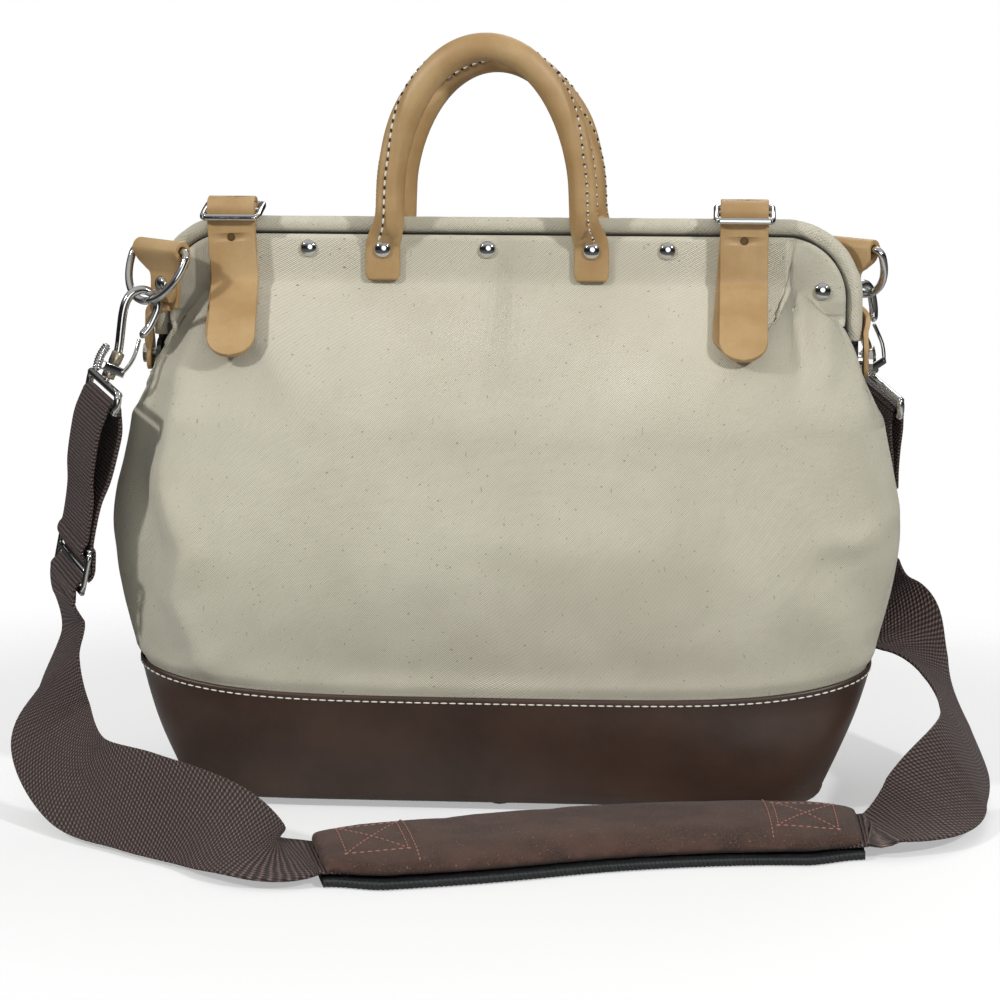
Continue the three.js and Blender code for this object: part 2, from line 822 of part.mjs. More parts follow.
// A strap seen from its side: its centre line in the YZ plane, thickened to both sides, and as
// deep in X as the strap is wide.
function strapSolid(path, thickness, width, x) {
  const points = path.map(([y, z]) => new THREE.Vector2(y, z));
  const last = points.length - 1;
  const low = x - width / 2;
  const high = x + width / 2;
  const rings = points.map((p, i) => {
    const before = new THREE.Vector2().subVectors(p, points[Math.max(i - 1, 0)]).normalize();
    const after = new THREE.Vector2().subVectors(points[Math.min(i + 1, last)], p).normalize();
    if (i === 0) before.copy(after);
    if (i === last) after.copy(before);
    const along = new THREE.Vector2().addVectors(before, after).normalize();
    const reach = thickness / 2 / Math.max(along.dot(before), 0.5);
    const one = [p.x + along.y * reach, p.y - along.x * reach];
    const other = [p.x - along.y * reach, p.y + along.x * reach];
    return [
      new THREE.Vector3(low, ...one),
      new THREE.Vector3(high, ...one),
      new THREE.Vector3(high, ...other),
      new THREE.Vector3(low, ...other),
    ];
  });
  return loft(rings);
}

// The front panel's side view at the closures, as [y, z] from the rail down.
const frontLine = [
  [-hemOutside, railTop],
  [-hemOutside, 267],
  [-9.7, 260],
  [-13, 256],
  [-16.5, 252],
  [-24.9, 244],
  [-33.1, 236],
  [-45, 223.8],
];

// The front line moved outwards, down to a height.
function alongFront(away, lowest) {
  const moved = frontLine.map(([y, z], i) => {
    const a = frontLine[Math.max(i - 1, 0)];
    const b = frontLine[Math.min(i + 1, frontLine.length - 1)];
    const along = new THREE.Vector2(b[0] - a[0], b[1] - a[1]).normalize();
    return [y + along.y * away, z - along.x * away];
  });
  const kept = moved.filter(([, z]) => z > lowest);
  const next = moved[kept.length];
  if (!next) return kept;
  const [y, z] = kept[kept.length - 1];
  const share = (z - lowest) / (z - next[1]);
  kept.push([y + (next[0] - y) * share, lowest]);
  return kept;
}

// Closures. Each has a chape riveted to the front with a centre-bar buckle in its loop, and a
// strap that comes from the back rail over the rim, through the buckle and down the front.
const hemGap = clearance + leatherThickness / 2;
const loopMiddle = buckleBarRadius + hemGap;
const barY = -5;
const barZ = railHeight + 3;
const nearBar = [-15, railHeight + 0.5];
const farBar = [7.5, railHeight + 5];
const tailGap = hemGap + leatherThickness + 2 * clearance;

// Points round the centre bar, from one angle to another.
function roundBar(radius, start, end, steps) {
  const points = [];
  for (let i = 0; i <= steps; i++) {
    const t = THREE.MathUtils.degToRad(start + ((end - start) * i) / steps);
    points.push([barY + radius * Math.cos(t), barZ + radius * Math.sin(t)]);
  }
  return points;
}

// A block over the XZ outline of a hanging strap with a rounded end at the bottom.
function roundedEnd(x, bottom, top) {
  const half = strapWidth / 2;
  const shape = new THREE.Shape();
  shape.moveTo(x - half, bottom + half);
  shape.absarc(x, bottom + half, half, Math.PI, Math.PI * 2, false);
  shape.lineTo(x + half, top);
  shape.lineTo(x - half, top);
  shape.closePath();
  return facePlate(shape, -1, -60, 90);
}

// How far below a seat the front panel's inner face lies, with a clearance.
function panelGrip(seat, up) {
  const reach = seat.clone().addScaledVector(up, -chapeProbeDepth);
  const probe = bar(seat, reach, rivetClinchRadius + clearance, 12);
  const places = common(frontPanel, probe).getAttribute("position");
  let deepest = 0;
  for (let i = 0; i < places.count; i++) {
    const p = new THREE.Vector3().fromBufferAttribute(places, i);
    deepest = Math.max(deepest, seat.clone().sub(p).dot(up));
  }
  return deepest + clearance;
}

function closure(name, x) {
  const panel = alongFront(hemGap, railHeight - chapeDrop).reverse();
  const front = [...panel, [-7.4, railHeight - 6], [-8, railHeight], ...roundBar(loopMiddle, 165, -20, 7)];
  const back = [...roundBar(loopMiddle, 0, -85, 4), [-5.4, railHeight - 4.5]];
  const slot = new THREE.BoxGeometry(6, 12, 12);
  slot.translate(x, barY - 1, barZ + 1);
  const [rivetY, rivetZ] = frontLine[frontLine.length - 2];
  const up = new THREE.Vector3(0, -Math.SQRT1_2, Math.SQRT1_2);
  const seatLift = hemGap + leatherThickness / 2 + clearance;
  const seat = new THREE.Vector3(x, rivetY, rivetZ).addScaledVector(up, seatLift);
  const hole = bar(
    seat.clone().addScaledVector(up, 12),
    seat.clone().addScaledVector(up, -18),
    rivetShankRadius + clearance,
    10,
  );
  panelHoles.push(hole);
  const chape = joinAll([
    strapSolid(front, leatherThickness, strapWidth, x),
    strapSolid(back, leatherThickness, strapWidth, x),
  ]);
  const rounded = common(chape, roundedEnd(x, railHeight - chapeDrop, railHeight + 20));
  addPiece("chape_" + name, cut(rounded, [slot, hole]), leatherMaterial);
  const pin = rivet(panelGrip(seat, up));
  pin.applyQuaternion(new THREE.Quaternion().setFromUnitVectors(new THREE.Vector3(0, 0, 1), up));
  pin.translate(seat.x, seat.y, seat.z);
  addPiece("chape_rivet_" + name, pin, steelMaterial);
  buckle(name, x);
  billet(name, x);
}

const panelHoles = [];
const frontPanel = shoulderSolid(-1, jawOffset - 0.8);

function buckle(name, x) {
  const half = buckleWidth / 2;
  const corner = 2.5;
  const middle = [barY, barZ];
  const point = (side, [y, z]) => new THREE.Vector3(x + side * half, y, z);
  const toward = ([y0, z0], [y1, z1], by) => {
    const length = Math.hypot(y1 - y0, z1 - z0);
    return [y0 + ((y1 - y0) * by) / length, z0 + ((z1 - z0) * by) / length];
  };
  const nearIn = toward(nearBar, middle, corner);
  const farIn = toward(farBar, middle, corner);
  const round = [
    point(-1, nearIn),
    new THREE.Vector3(x - half + corner, ...nearBar),
    new THREE.Vector3(x + half - corner, ...nearBar),
    point(1, nearIn),
    point(1, middle),
    point(1, farIn),
    new THREE.Vector3(x + half - corner, ...farBar),
    new THREE.Vector3(x - half + corner, ...farBar),
    point(-1, farIn),
    point(-1, middle),
  ];
  const centreBar = bar(point(-1, middle), point(1, middle), buckleBarRadius, 10);
  addPiece("buckle_" + name, joinAll([wireRing(round, buckleBarRadius, 8), centreBar]), steelMaterial);
  const ring = strapSolid(roundBar(buckleBarRadius + clearance + 1.1, 60, 378, 14), 2.2, prongThickness, x);
  const tongue = strapSolid(prongPath, 1.8, prongThickness, x);
  addPiece("prong_" + name, joinAll([ring, tongue]), steelMaterial);
}

const prongPath = [
  [-5, railHeight + 6.1],
  [-2.4, railHeight + 6.3],
  [1.2, railHeight + 7.1],
  [5, railHeight + 7.8],
  [10, railHeight + 7.6],
];

// The strap's side view, from the back rail to the bend in front of the rim.
const billetTop = [
  [hemOutside + hemGap, railHeight - 28],
  [hemOutside + hemGap, railHeight - 11.3],
  [8.5, railHeight - 7.5],
  [8.9, railHeight - 4],
  [8.7, railHeight - 0.6],
  [6.9, railHeight + 1.6],
  [4.6, railHeight + 2.5],
  [2.4, railHeight + 4.8],
  [-0.5, railHeight + 8],
  [-5, railHeight + 9.3],
  [-9, railHeight + 8.6],
];
const billetBend = [
  [-9.75, railHeight + 8.3],
  [-10.8, railHeight + 7.4],
  [-11.7, railHeight + 4.5],
  [-11.1, railHeight + 1],
  [-11, railHeight - 3.5],
];

function billet(name, x) {
  const holeRadius = strapHoleRadius;
  const prongHole = bar(
    new THREE.Vector3(x, -4, railHeight + 5.6),
    new THREE.Vector3(x, 5, railHeight + 7.9),
    holeRadius,
    12,
  );
  const rivetHole = bar(
    new THREE.Vector3(x, 2, railRivetHeight),
    new THREE.Vector3(x, 20, railRivetHeight),
    rivetShankRadius + clearance,
    10,
  );
  const top = strapSolid(billetTop, leatherThickness, strapWidth, x);
  addPiece("billet_top_" + name, cut(top, [prongHole, rivetHole]), leatherMaterial);
  railRivet("billet_rivet_" + name, 1, x, railRivetHeight, leatherThickness + clearance);
  const lowest = railHeight - tailDrop;
  const hanging = alongFront(tailGap, lowest).map(([y, z]) => [y - tailLean * (railHeight - z), z]);
  const tail = strapSolid([...billetBend, ...hanging], leatherThickness, strapWidth, x);
  const rounded = common(tail, roundedEnd(x, railHeight - tailDrop, railHeight + 20));
  const frontHole = (z) =>
    bar(new THREE.Vector3(x, -60, z), new THREE.Vector3(x, -8.3, z), holeRadius, 12);
  const holes = [railHeight - strapHoleSpacing + 1].map(frontHole);
  addPiece("billet_tail_" + name, cut(rounded, holes), leatherMaterial);
}

// The ring tabs sit diagonally on the frame's corners. A tab's own frame has w along its width,
// n pointing away from the bag and up along Z, with its neck rivet at the origin.
function tabFrame(end) {
  const yaw = THREE.MathUtils.degToRad(tabYaw);
  const n = new THREE.Vector3(end * Math.sin(yaw), end * Math.cos(yaw), 0);
  const w = new THREE.Vector3(Math.cos(yaw), -Math.sin(yaw), 0);
  const origin = new THREE.Vector3(end * tabX, end * tabY, tabRivetHeight);
  const at = (across, out, up) =>
    origin.clone().addScaledVector(w, across).addScaledVector(n, out).add(new THREE.Vector3(0, 0, up));
  return { n, w, at };
}

const foldInner = ringWireRadius + 2 * clearance;
const foldMiddle = foldInner + leatherThickness / 2;
const foldOut = leatherThickness / 2 + foldMiddle;

const stripX = frameLength / 2 + rollRadius + clearance + leatherThickness / 2 + 0.1;

function ringTab(name, end) {
  const { at } = tabFrame(end);
  // Half width, distance out and height along the leather, from the strip up over the fold and
  // down to the end of the flap.
  const neck = tabNeckWidth / 2;
  const top = tabTopWidth / 2;
  const rows = [
    [neck - 1.5, leatherThickness / 2, -12],
    [neck, leatherThickness / 2, -3],
    [neck, leatherThickness / 2, 4],
    [top, leatherThickness / 2, 12],
    [top, leatherThickness / 2, tabRise],
  ];
  const steps = 7;
  for (let i = 1; i <= steps; i++) {
    const t = Math.PI - (i / steps) * Math.PI * 1.04;
    rows.push([top, foldOut + foldMiddle * Math.cos(t), tabRise + foldMiddle * Math.sin(t)]);
  }
  rows.push([top, leatherThickness * 2.3, 12.5]);
  rows.push([neck, leatherThickness * 1.5 + 0.1, 5]);
  rows.push([neck, leatherThickness * 1.5 + 0.1, -tabFlapDrop + 4]);
  rows.push([neck - 4, leatherThickness * 1.5 + 0.1, -tabFlapDrop]);
  const rings = rows.map(([half, out, up], i) => {
    const a = rows[Math.max(i - 1, 0)];
    const b = rows[Math.min(i + 1, rows.length - 1)];
    const along = new THREE.Vector2(b[1] - a[1], b[2] - a[2]).normalize();
    const y = (along.y * leatherThickness) / 2;
    const z = (-along.x * leatherThickness) / 2;
    return [
      at(-half, out + y, up + z),
      at(half, out + y, up + z),
      at(half, out - y, up - z),
      at(-half, out - y, up - z),
    ];
  });
  // Below the neck the strip turns to lie against the frame's leg, down to the hinge pin.
  const legX = end * stripX;
  const strip = [
    [at(0, leatherThickness / 2, -8), tabFrame(end).w, neck - 2.5],
    [new THREE.Vector3(end * 183.7, end * 9, tabRivetHeight - 16), new THREE.Vector3(0.3, -0.95, 0), 6.4],
    [new THREE.Vector3(legX, end * 4, tabRivetHeight - 26), new THREE.Vector3(0, -1, 0), tabStripWidth / 2],
    [new THREE.Vector3(legX, 0, pivotHeight), new THREE.Vector3(0, -1, 0), tabStripWidth / 2],
    [new THREE.Vector3(legX, 0, pivotHeight - 5), new THREE.Vector3(0, -1, 0), tabStripWidth / 2],
    [new THREE.Vector3(legX, 0, pivotHeight - 8), new THREE.Vector3(0, -1, 0), tabStripWidth / 4],
  ];
  const stripRings = strip.map(([p, across, half], i) => {
    const a = strip[Math.max(i - 1, 0)][0];
    const b = strip[Math.min(i + 1, strip.length - 1)][0];
    const along = new THREE.Vector3().subVectors(b, a).normalize();
    const thick = i === 0 ? leatherThickness * 0.7 : leatherThickness;
    const over = new THREE.Vector3().crossVectors(across, along).normalize().multiplyScalar(thick / 2);
    const side = across.clone().multiplyScalar(half);
    return [
      p.clone().sub(side).add(over),
      p.clone().add(side).add(over),
      p.clone().add(side).sub(over),
      p.clone().sub(side).sub(over),
    ];
  });
  const pinHole = bar(
    new THREE.Vector3(end * 150, 0, pivotHeight),
    new THREE.Vector3(end * 200, 0, pivotHeight),
    pinRadius + clearance,
    12,
  );
  const rivetHole = bar(at(0, -12, 0), at(0, 14, 0), rivetShankRadius + clearance, 10);
  const solid = joinAll([loft(rings), loft(stripRings)]);
  addPiece("ring_tab_" + name, cut(solid, [pinHole, rivetHole]), leatherMaterial);
  const pin = rivet(2 * leatherThickness + clearance + 4.2);
  const { n } = tabFrame(end);
  pin.applyQuaternion(new THREE.Quaternion().setFromUnitVectors(new THREE.Vector3(0, 0, 1), n));
  const seat = at(0, 2 * leatherThickness + 0.1 + clearance, 0);
  pin.translate(seat.x, seat.y, seat.z);
  addPiece("tab_rivet_" + name, pin, steelMaterial);
  cornerHoles.push(rivetHole);
}

const cornerHoles = [];

// A D-ring hangs from its straight bar in the tab's fold and leans outwards.
function dRing(name, end) {
  const { n, w, at } = tabFrame(end);
  const half = ringWidth / 2;
  const centre = at(0, foldOut, tabRise);
  const tilt = THREE.MathUtils.degToRad(ringTilt);
  const down = new THREE.Vector3(0, 0, -Math.cos(tilt)).addScaledVector(n, Math.sin(tilt));
  const points = [
    [-half + ringCorner, 0],
    [half - ringCorner, 0],
    [half - ringCorner * 0.3, ringCorner * 0.3],
    [half, ringCorner],
  ];
  const steps = 8;
  for (let i = 1; i < steps; i++) {
    const t = (i / steps) * Math.PI;
    points.push([half * Math.cos(t), ringCorner + (ringDepth - ringCorner) * Math.sin(t)]);
  }
  points.push([-half, ringCorner], [-half + ringCorner * 0.3, ringCorner * 0.3]);
  const place = ([a, b]) => centre.clone().addScaledVector(w, a).addScaledVector(down, b);
  addPiece("d_ring_" + name, wireRing(points.map(place), ringWireRadius, 10), steelMaterial);
}

function hingeRivet(name, side) {
  const outside = stripX + leatherThickness / 2 + clearance;
  const inside = frontLugX - lugThickness / 2 - clearance;
  const at = (x) => new THREE.Vector3(side * x, 0, pivotHeight);
  const pieces = [
    bar(at(inside - 1.4), at(outside + 0.4), pinRadius, 12),
    bar(at(outside), at(outside + pinHeadThickness), pinHeadRadius, 14),
    bar(at(inside - pinHeadThickness), at(inside), pinHeadRadius * 0.8, 14),
  ];
  addPiece("hinge_rivet_" + name, joinAll(pieces), steelMaterial);
}

// Snap hooks. A hook's own frame has p across it towards its gate, q up its shank and b out of
// its plane, with the middle of its bend at the origin.
function hookFrame(end) {
  const { n, at } = tabFrame(end);
  const tilt = THREE.MathUtils.degToRad(ringTilt);
  const lowest = at(0, foldOut + ringDepth * Math.sin(tilt), tabRise - ringDepth * Math.cos(tilt));
  const yaw = THREE.MathUtils.degToRad(leftHookYaw);
  const across = end < 0 ? new THREE.Vector3(Math.cos(yaw), Math.sin(yaw), 0) : n.clone();
  const lean = THREE.MathUtils.degToRad(end < 0 ? leftHookLean : -rightHookLean);
  const q = new THREE.Vector3(0, 0, Math.cos(lean)).addScaledVector(across, Math.sin(lean));
  const p = across.clone().addScaledVector(q, -across.dot(q)).normalize();
  const b = new THREE.Vector3().crossVectors(p, q);
  const middle = lowest.addScaledVector(q, -(hookBendRadius - hookWireRadius - ringWireRadius - ringPlay));
  const place = (x, y, z) =>
    middle.clone().addScaledVector(p, x).addScaledVector(q, y).addScaledVector(b, z);
  const eyeTop = place(-shankOffset, -hookLength - 5.5, 0);
  const target = end < 0 ? glideCentre : new THREE.Vector3(...rightRoute[0].slice(0, 3));
  const down = new THREE.Vector3().subVectors(target, eyeTop).normalize();
  const eyeAcross = new THREE.Vector3(...(end < 0 ? leftEyeAcross : rightEyeAcross));
  eyeAcross.addScaledVector(down, -eyeAcross.dot(down)).normalize();
  const eyeBar = eyeTop.clone().addScaledVector(down, eyeHeight - 2 * eyeWireRadius);
  return { p, q, b, place, eyeTop, eyeBar, eyeAcross, down, target };
}

function snapHook(name, end) {
  const { q, b, p, place, eyeTop, eyeAcross, down } = hookFrame(end);
  const r = hookBendRadius;
  const route = [
    [-shankOffset, -hookLength + 10],
    [-1.5, -hookLength + 17],
    [-5.5, -hookLength * 0.42],
    [-r, -7],
  ];
  const steps = 6;
  for (let i = 0; i <= steps; i++) {
    const t = Math.PI - (i / steps) * Math.PI;
    route.push([r * Math.cos(t), r * Math.sin(t)]);
  }
  route.push([r - 0.2, -8], [r - 2, -14]);
  const curve = new THREE.CatmullRomCurve3(route.map(([x, y]) => place(x, y, 0)));
  const sleeveEnd = -hookLength - 2.5;
  const sleeveTop = place(-shankOffset, sleeveEnd + hookSleeveLength, 0);
  const sleeve = bar(sleeveTop, place(-shankOffset, sleeveEnd, 0), hookSleeveRadius, 14);
  const bore = bar(
    place(-shankOffset, -hookLength - 4, 0),
    place(-shankOffset, -hookLength + 4, 0),
    swivelStudRadius + clearance,
    12,
  );
  const hook = joinAll([wire(curve, hookWireRadius, 22, 8), sleeve]);
  addPiece("snap_hook_" + name, cut(hook, [bore]), steelMaterial);

  // The gate: a thin wire up to the hook's tip, and a lever plate with a thumb piece.
  const gateRoute = new THREE.CatmullRomCurve3([
    place(4.2, -hookLength + 4, gateStandOff),
    place(6.2, -hookLength + 11, 3.6),
    place(5.8, -17, 0.4),
    place(5.6, -17, -0.2),
  ]);
  const plate = new THREE.BoxGeometry(15, 5, 1.6);
  plate.translate(-1.5, -hookLength + 3, gateStandOff);
  const thumb = new THREE.BoxGeometry(5, 14, 5);
  thumb.translate(-8.6, -hookLength + 6.5, 3);
  const turn = new THREE.Matrix4().makeBasis(p, q, b).setPosition(place(0, 0, 0));
  for (const block of [plate, thumb]) block.applyMatrix4(turn);
  const gateWire = wire(gateRoute, gateWireRadius, 8, 8);
  addPiece("gate_" + name, joinAll([gateWire, plate, thumb]), steelMaterial);

  // The swivel eye: a stud in the sleeve's bore, and a flat wire loop that the webbing goes round.
  const studTop = place(-shankOffset, -hookLength + 3.4, 0);
  const stud = bar(studTop, place(-shankOffset, -hookLength - 6, 0), swivelStudRadius, 10);
  const half = eyeWidth / 2 - eyeWireRadius;
  const drop = eyeHeight - 2 * eyeWireRadius;
  const corner = eyeWireRadius * 1.2;
  const outline = [
    [-half + corner, 0],
    [half - corner, 0],
    [half, corner],
    [half, drop - corner],
    [half - corner, drop],
    [-half + corner, drop],
    [-half, drop - corner],
    [-half, corner],
  ].map(([x, z]) => eyeTop.clone().addScaledVector(eyeAcross, x).addScaledVector(down, z));
  const loop = wireRing(outline, eyeWireRadius, 8);
  addPiece("swivel_eye_" + name, joinAll([stud, loop]), steelMaterial);
}

// A closed round wire whose corners are the given points, all near one plane.
function wireRing(points, radius, sides) {
  const count = points.length;
  const plane = new THREE.Plane().setFromCoplanarPoints(points[0], points[2], points[count - 2]);
  const rings = points.map((p, i) => {
    const before = new THREE.Vector3().subVectors(p, points[(i + count - 1) % count]).normalize();
    const after = new THREE.Vector3().subVectors(points[(i + 1) % count], p).normalize();
    const along = new THREE.Vector3().addVectors(before, after).normalize();
    const across = new THREE.Vector3().crossVectors(plane.normal, along).normalize();
    const over = new THREE.Vector3().crossVectors(along, across);
    const stretch = 1 / along.dot(after);
    return Array.from({ length: sides }, (_, k) => {
      const t = ((k + 0.5) / sides) * Math.PI * 2;
      const q = p.clone().addScaledVector(across, radius * stretch * Math.cos(t));
      return q.addScaledVector(over, radius * Math.sin(t));
    });
  });
  return loft(rings, true);
}

// A flat strip along rows of [centre, direction of its width], with square edges.
function ribbon(rows, width, thickness) {
  const rings = rows.map(([p, w, share = 1], i) => {
    const before = new THREE.Vector3().subVectors(p, rows[Math.max(i - 1, 0)][0]).normalize();
    const after = new THREE.Vector3().subVectors(rows[Math.min(i + 1, rows.length - 1)][0], p).normalize();
    if (i === 0) before.copy(after);
    if (i === rows.length - 1) after.copy(before);
    const along = new THREE.Vector3().addVectors(before, after).normalize();
    const side = w.clone().addScaledVector(along, -w.dot(along)).normalize();
    const over = new THREE.Vector3().crossVectors(side, along);
    over.multiplyScalar(thickness / 2 / Math.max(along.dot(after), 0.6));
    side.multiplyScalar((width / 2) * share);
    return [
      p.clone().sub(side).add(over),
      p.clone().add(side).add(over),
      p.clone().add(side).sub(over),
      p.clone().sub(side).sub(over),
    ];
  });
  return loft(rings);
}

// Rows smoothed along a route of [x, y, z, width direction].
function smoothRows(route, steps) {
  const curve = new THREE.CatmullRomCurve3(route.map(([x, y, z]) => new THREE.Vector3(x, y, z)));
  const last = route.length - 1;
  const rows = [];
  for (let k = 0; k <= last * steps; k++) {
    const t = k / (last * steps);
    const i = Math.min(Math.floor(t * last), last - 1);
    const share = t * last - i;
    const from = new THREE.Vector3(...route[i].slice(3, 6));
    const w = from.lerp(new THREE.Vector3(...route[i + 1].slice(3, 6)), share);
    rows.push([curve.getPoint(t), w.normalize()]);
  }
  return rows;
}

// The strap's left length: a loop round the swivel eye, two layers down to the slide adjuster,
// then one layer down to the ground and over to the pad.
const glideCentre = new THREE.Vector3(-221, -36, 124);
const leftRoute = [
  [-221.5, -38, 88, 0.4, -0.9, 0.2],
  [-226, -52, 68, 0.5, -0.8, 0.3],
  [-226, -76, 45, 0.85, -0.2, 0.45],
  [-206, -108, 27, 0.45, 0.25, 0.85],
  [-172, -131, 24, 0.1, 0.5, 0.86],
  [-135, -148, 19, 0, 0.75, 0.66],
  [-104, -166, 10, -0.15, 0.95, 0.25],
  [-82.4, -160.2, 7, -0.26, 0.965, 0],
];

function eyeLoop(end, bulge) {
  const { eyeBar, eyeAcross: w, down, target } = hookFrame(end);
  const m = new THREE.Vector3().crossVectors(w, down);
  const r = eyeWireRadius + clearance + webbingThickness / 2;
  const at = (out, below) => eyeBar.clone().addScaledVector(m, out).addScaledVector(down, below);
  const rows = [[at(-1.2, 38), w], [at(-0.8 * bulge, 24), w], [at(-bulge, 12), w]];
  const steps = 6;
  for (let i = 0; i <= steps; i++) {
    const t = Math.PI - (i / steps) * Math.PI;
    rows.push([at(r * Math.cos(t), -r * Math.sin(t)), w]);
  }
  rows.push([at(bulge, 12), w], [at(0.8 * bulge, 24), w], [at(1.2, 38), w]);
  return { loop: ribbon(rows, webbingWidth, webbingThickness), at, w, m, down, reach: eyeBar.distanceTo(target) };
}

function leftWebbing() {
  const { loop, at, w, m, down, reach } = eyeLoop(-1, 4.6);
  const ends = [[at(0, 34), w], [at(0, reach - glideHeight / 2 - 5), w]];
  const straight = ribbon(ends, webbingWidth, doubledThickness);
  const weave = glideBar / 2 + clearance + webbingThickness / 2;
  const step = glideHeight / 2 - glideBar / 2;
  const flat = glideBar / 2 + clearance;
  const rows = [
    [at(-0.8, reach - step - 8), w],
    [at(-weave, reach - step - flat), w],
    [at(-weave, reach - step + flat), w],
    [at(weave, reach - flat), w],
    [at(weave, reach + flat), w],
    [at(-weave, reach + step - flat), w],
    [at(-weave, reach + step + flat), w],
  ];
  const rest = smoothRows(leftRoute, 4);
  const single = ribbon([...rows, ...rest], webbingWidth, webbingThickness);
  addPiece("webbing_left", joinAll([loop, straight, single]), webbingMaterial);

  // The slide adjuster: a flat frame with a bar across its middle.
  const centre = at(0, reach);
  const half = glideWidth / 2 - glideBar / 2;
  const point = (a, c) => centre.clone().addScaledVector(w, a).addScaledVector(down, c);
  const flatBar = (from, to) => {
    const along = new THREE.Vector3().subVectors(to, from);
    const across = new THREE.Vector3().crossVectors(m, along).normalize();
    return ribbon([[from, across], [to, across]], glideBar, glideBar * 0.8);
  };
  const over = glideBar / 2;
  const bars = [];
  for (const c of [-step, 0, step]) bars.push(flatBar(point(-half - over, c), point(half + over, c)));
  for (const a of [-half, half]) bars.push(flatBar(point(a, -step - over), point(a, step + over)));
  addPiece("glide", joinAll(bars), steelMaterial);
}

const rightRoute = [
  [191, 56, 154, 0.45, -0.89, 0],
  [190, 62, 130, 0.5, -0.86, 0],
  [191, 66, 108, 0.65, -0.75, 0],
  [200, 62, 84, 0.75, -0.6, -0.2],
  [216, 40, 62, 0.72, -0.3, -0.58],
  [231, 10, 44, 0.6, 0, -0.8],
  [238, -26, 32, 0.5, -0.1, -0.85],
  [232, -60, 27, 0.35, -0.45, -0.82],
  [214, -86, 16, 0.12, -0.85, -0.5],
  [192, -98, 7.5, 0, -1, -0.05],
  [184, -99, 7, 0.05, -1, 0],
];

function rightWebbing() {
  const { loop, at, w } = eyeLoop(1, 3.4);
  const rest = smoothRows(rightRoute, 4);
  const joint = ribbon([[at(0, 34), w], ...rest], webbingWidth, webbingThickness * 1.5);
  addPiece("webbing_right", joinAll([loop, joint]), webbingMaterial);
}

// The shoulder pad lies on the ground in front of the bag: a rubber base and a soft top.
const padLine = [
  [-80, -159.5, 0],
  [-12, -141, 0],
  [55, -117, 0],
  [120, -103, 0],
  [182, -99, 0],
];

function padPieces() {
  const curve = new THREE.CatmullRomCurve3(padLine.map(([x, y, z]) => new THREE.Vector3(x, y, z)));
  const steps = 22;
  const layers = [
    ["pad_base", 0, padBaseThickness, 1, rubberMaterial],
    ["shoulder_pad", padBaseThickness + clearance, padThickness, 0.97, padMaterial],
  ];
  for (const [name, low, thickness, share, material] of layers) {
    const rings = [];
    for (let i = 0; i <= steps; i++) {
      const t = i / steps;
      const centre = curve.getPointAt(t);
      const along = curve.getTangentAt(t);
      const w = new THREE.Vector3(-along.y, along.x, 0);
      const end = Math.min(t, 1 - t) * steps;
      const half = (padWidth / 2) * share * (end < 1 ? 0.8 : end < 2 ? 0.96 : 1);
      const at = (a, z) => centre.clone().addScaledVector(w, a).setZ(z);
      const edge = thickness * (thickness > padBaseThickness ? 0.3 : 0.1);
      rings.push([
        at(-half, low + edge),
        at(-half + 2, low),
        at(half - 2, low),
        at(half, low + edge),
        at(half, low + thickness - edge),
        at(half - edge - 1, low + thickness),
        at(-half + edge + 1, low + thickness),
        at(-half, low + thickness - edge),
      ]);
    }
    addPiece(name, loft(rings), material);
  }
}

bottomCover();
bottomBoard();
feet();
canvasBody();
plainRivets();
handles();
closure("left", hardwareShift - closureSpacing);
closure("right", hardwareShift + closureSpacing);
ringTab("left", -1);
ringTab("right", 1);
dRing("left", -1);
dRing("right", 1);
snapHook("left", -1);
snapHook("right", 1);
leftWebbing();
rightWebbing();
padPieces();
hingeRivet("left", -1);
hingeRivet("right", 1);
addPiece("front_jaw", cut(frontJawSolid(), rivetHoles(-1)), steelMaterial);
addPiece("back_jaw", cut(backJawSolid(), rivetHoles(1)), steelMaterial);
addPiece("back_roll", rollSolid(), canvasMaterial);
addPiece("shoulder_front", cut(frontPanel, [...rivetHoles(-1), ...panelHoles]), canvasMaterial);
addPiece("shoulder_back", cut(shoulderSolid(1, rollRadius + 2 * clearance), rivetHoles(1)), canvasMaterial);

export default bag;
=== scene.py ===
import math

import bpy
import numpy as np
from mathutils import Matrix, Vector, noise
from mathutils.bvhtree import BVHTree


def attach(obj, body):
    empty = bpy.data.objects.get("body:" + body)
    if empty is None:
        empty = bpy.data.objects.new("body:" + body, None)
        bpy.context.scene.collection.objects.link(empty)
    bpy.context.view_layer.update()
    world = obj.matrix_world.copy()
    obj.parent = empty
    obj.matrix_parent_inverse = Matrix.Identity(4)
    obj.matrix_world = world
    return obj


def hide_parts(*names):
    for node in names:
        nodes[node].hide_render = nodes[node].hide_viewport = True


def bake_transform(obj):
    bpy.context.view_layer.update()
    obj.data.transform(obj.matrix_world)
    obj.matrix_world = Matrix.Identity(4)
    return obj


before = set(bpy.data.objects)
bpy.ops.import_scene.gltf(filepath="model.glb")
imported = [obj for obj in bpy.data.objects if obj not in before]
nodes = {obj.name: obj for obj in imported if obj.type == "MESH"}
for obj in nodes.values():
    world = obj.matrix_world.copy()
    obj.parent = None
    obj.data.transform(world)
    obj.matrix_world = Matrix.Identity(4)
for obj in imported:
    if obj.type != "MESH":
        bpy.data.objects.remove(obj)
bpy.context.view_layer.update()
scene = bpy.context.scene
print("frame loaded:", len(nodes), "solids")

# Lengths are in metres and turns in degrees. The picture is 1000 x 1000, the target at pixel (505.5, 432).
view = {
    "target": (0.0, 0.0, 0.190),
    "turn": 4.0,
    "height": 10.0,
    "distance": 1.6,
    "lens": 111.2,
    "sensor": 36,
    "near": 0.05,
    "shift": (-0.0055, -0.075),
}


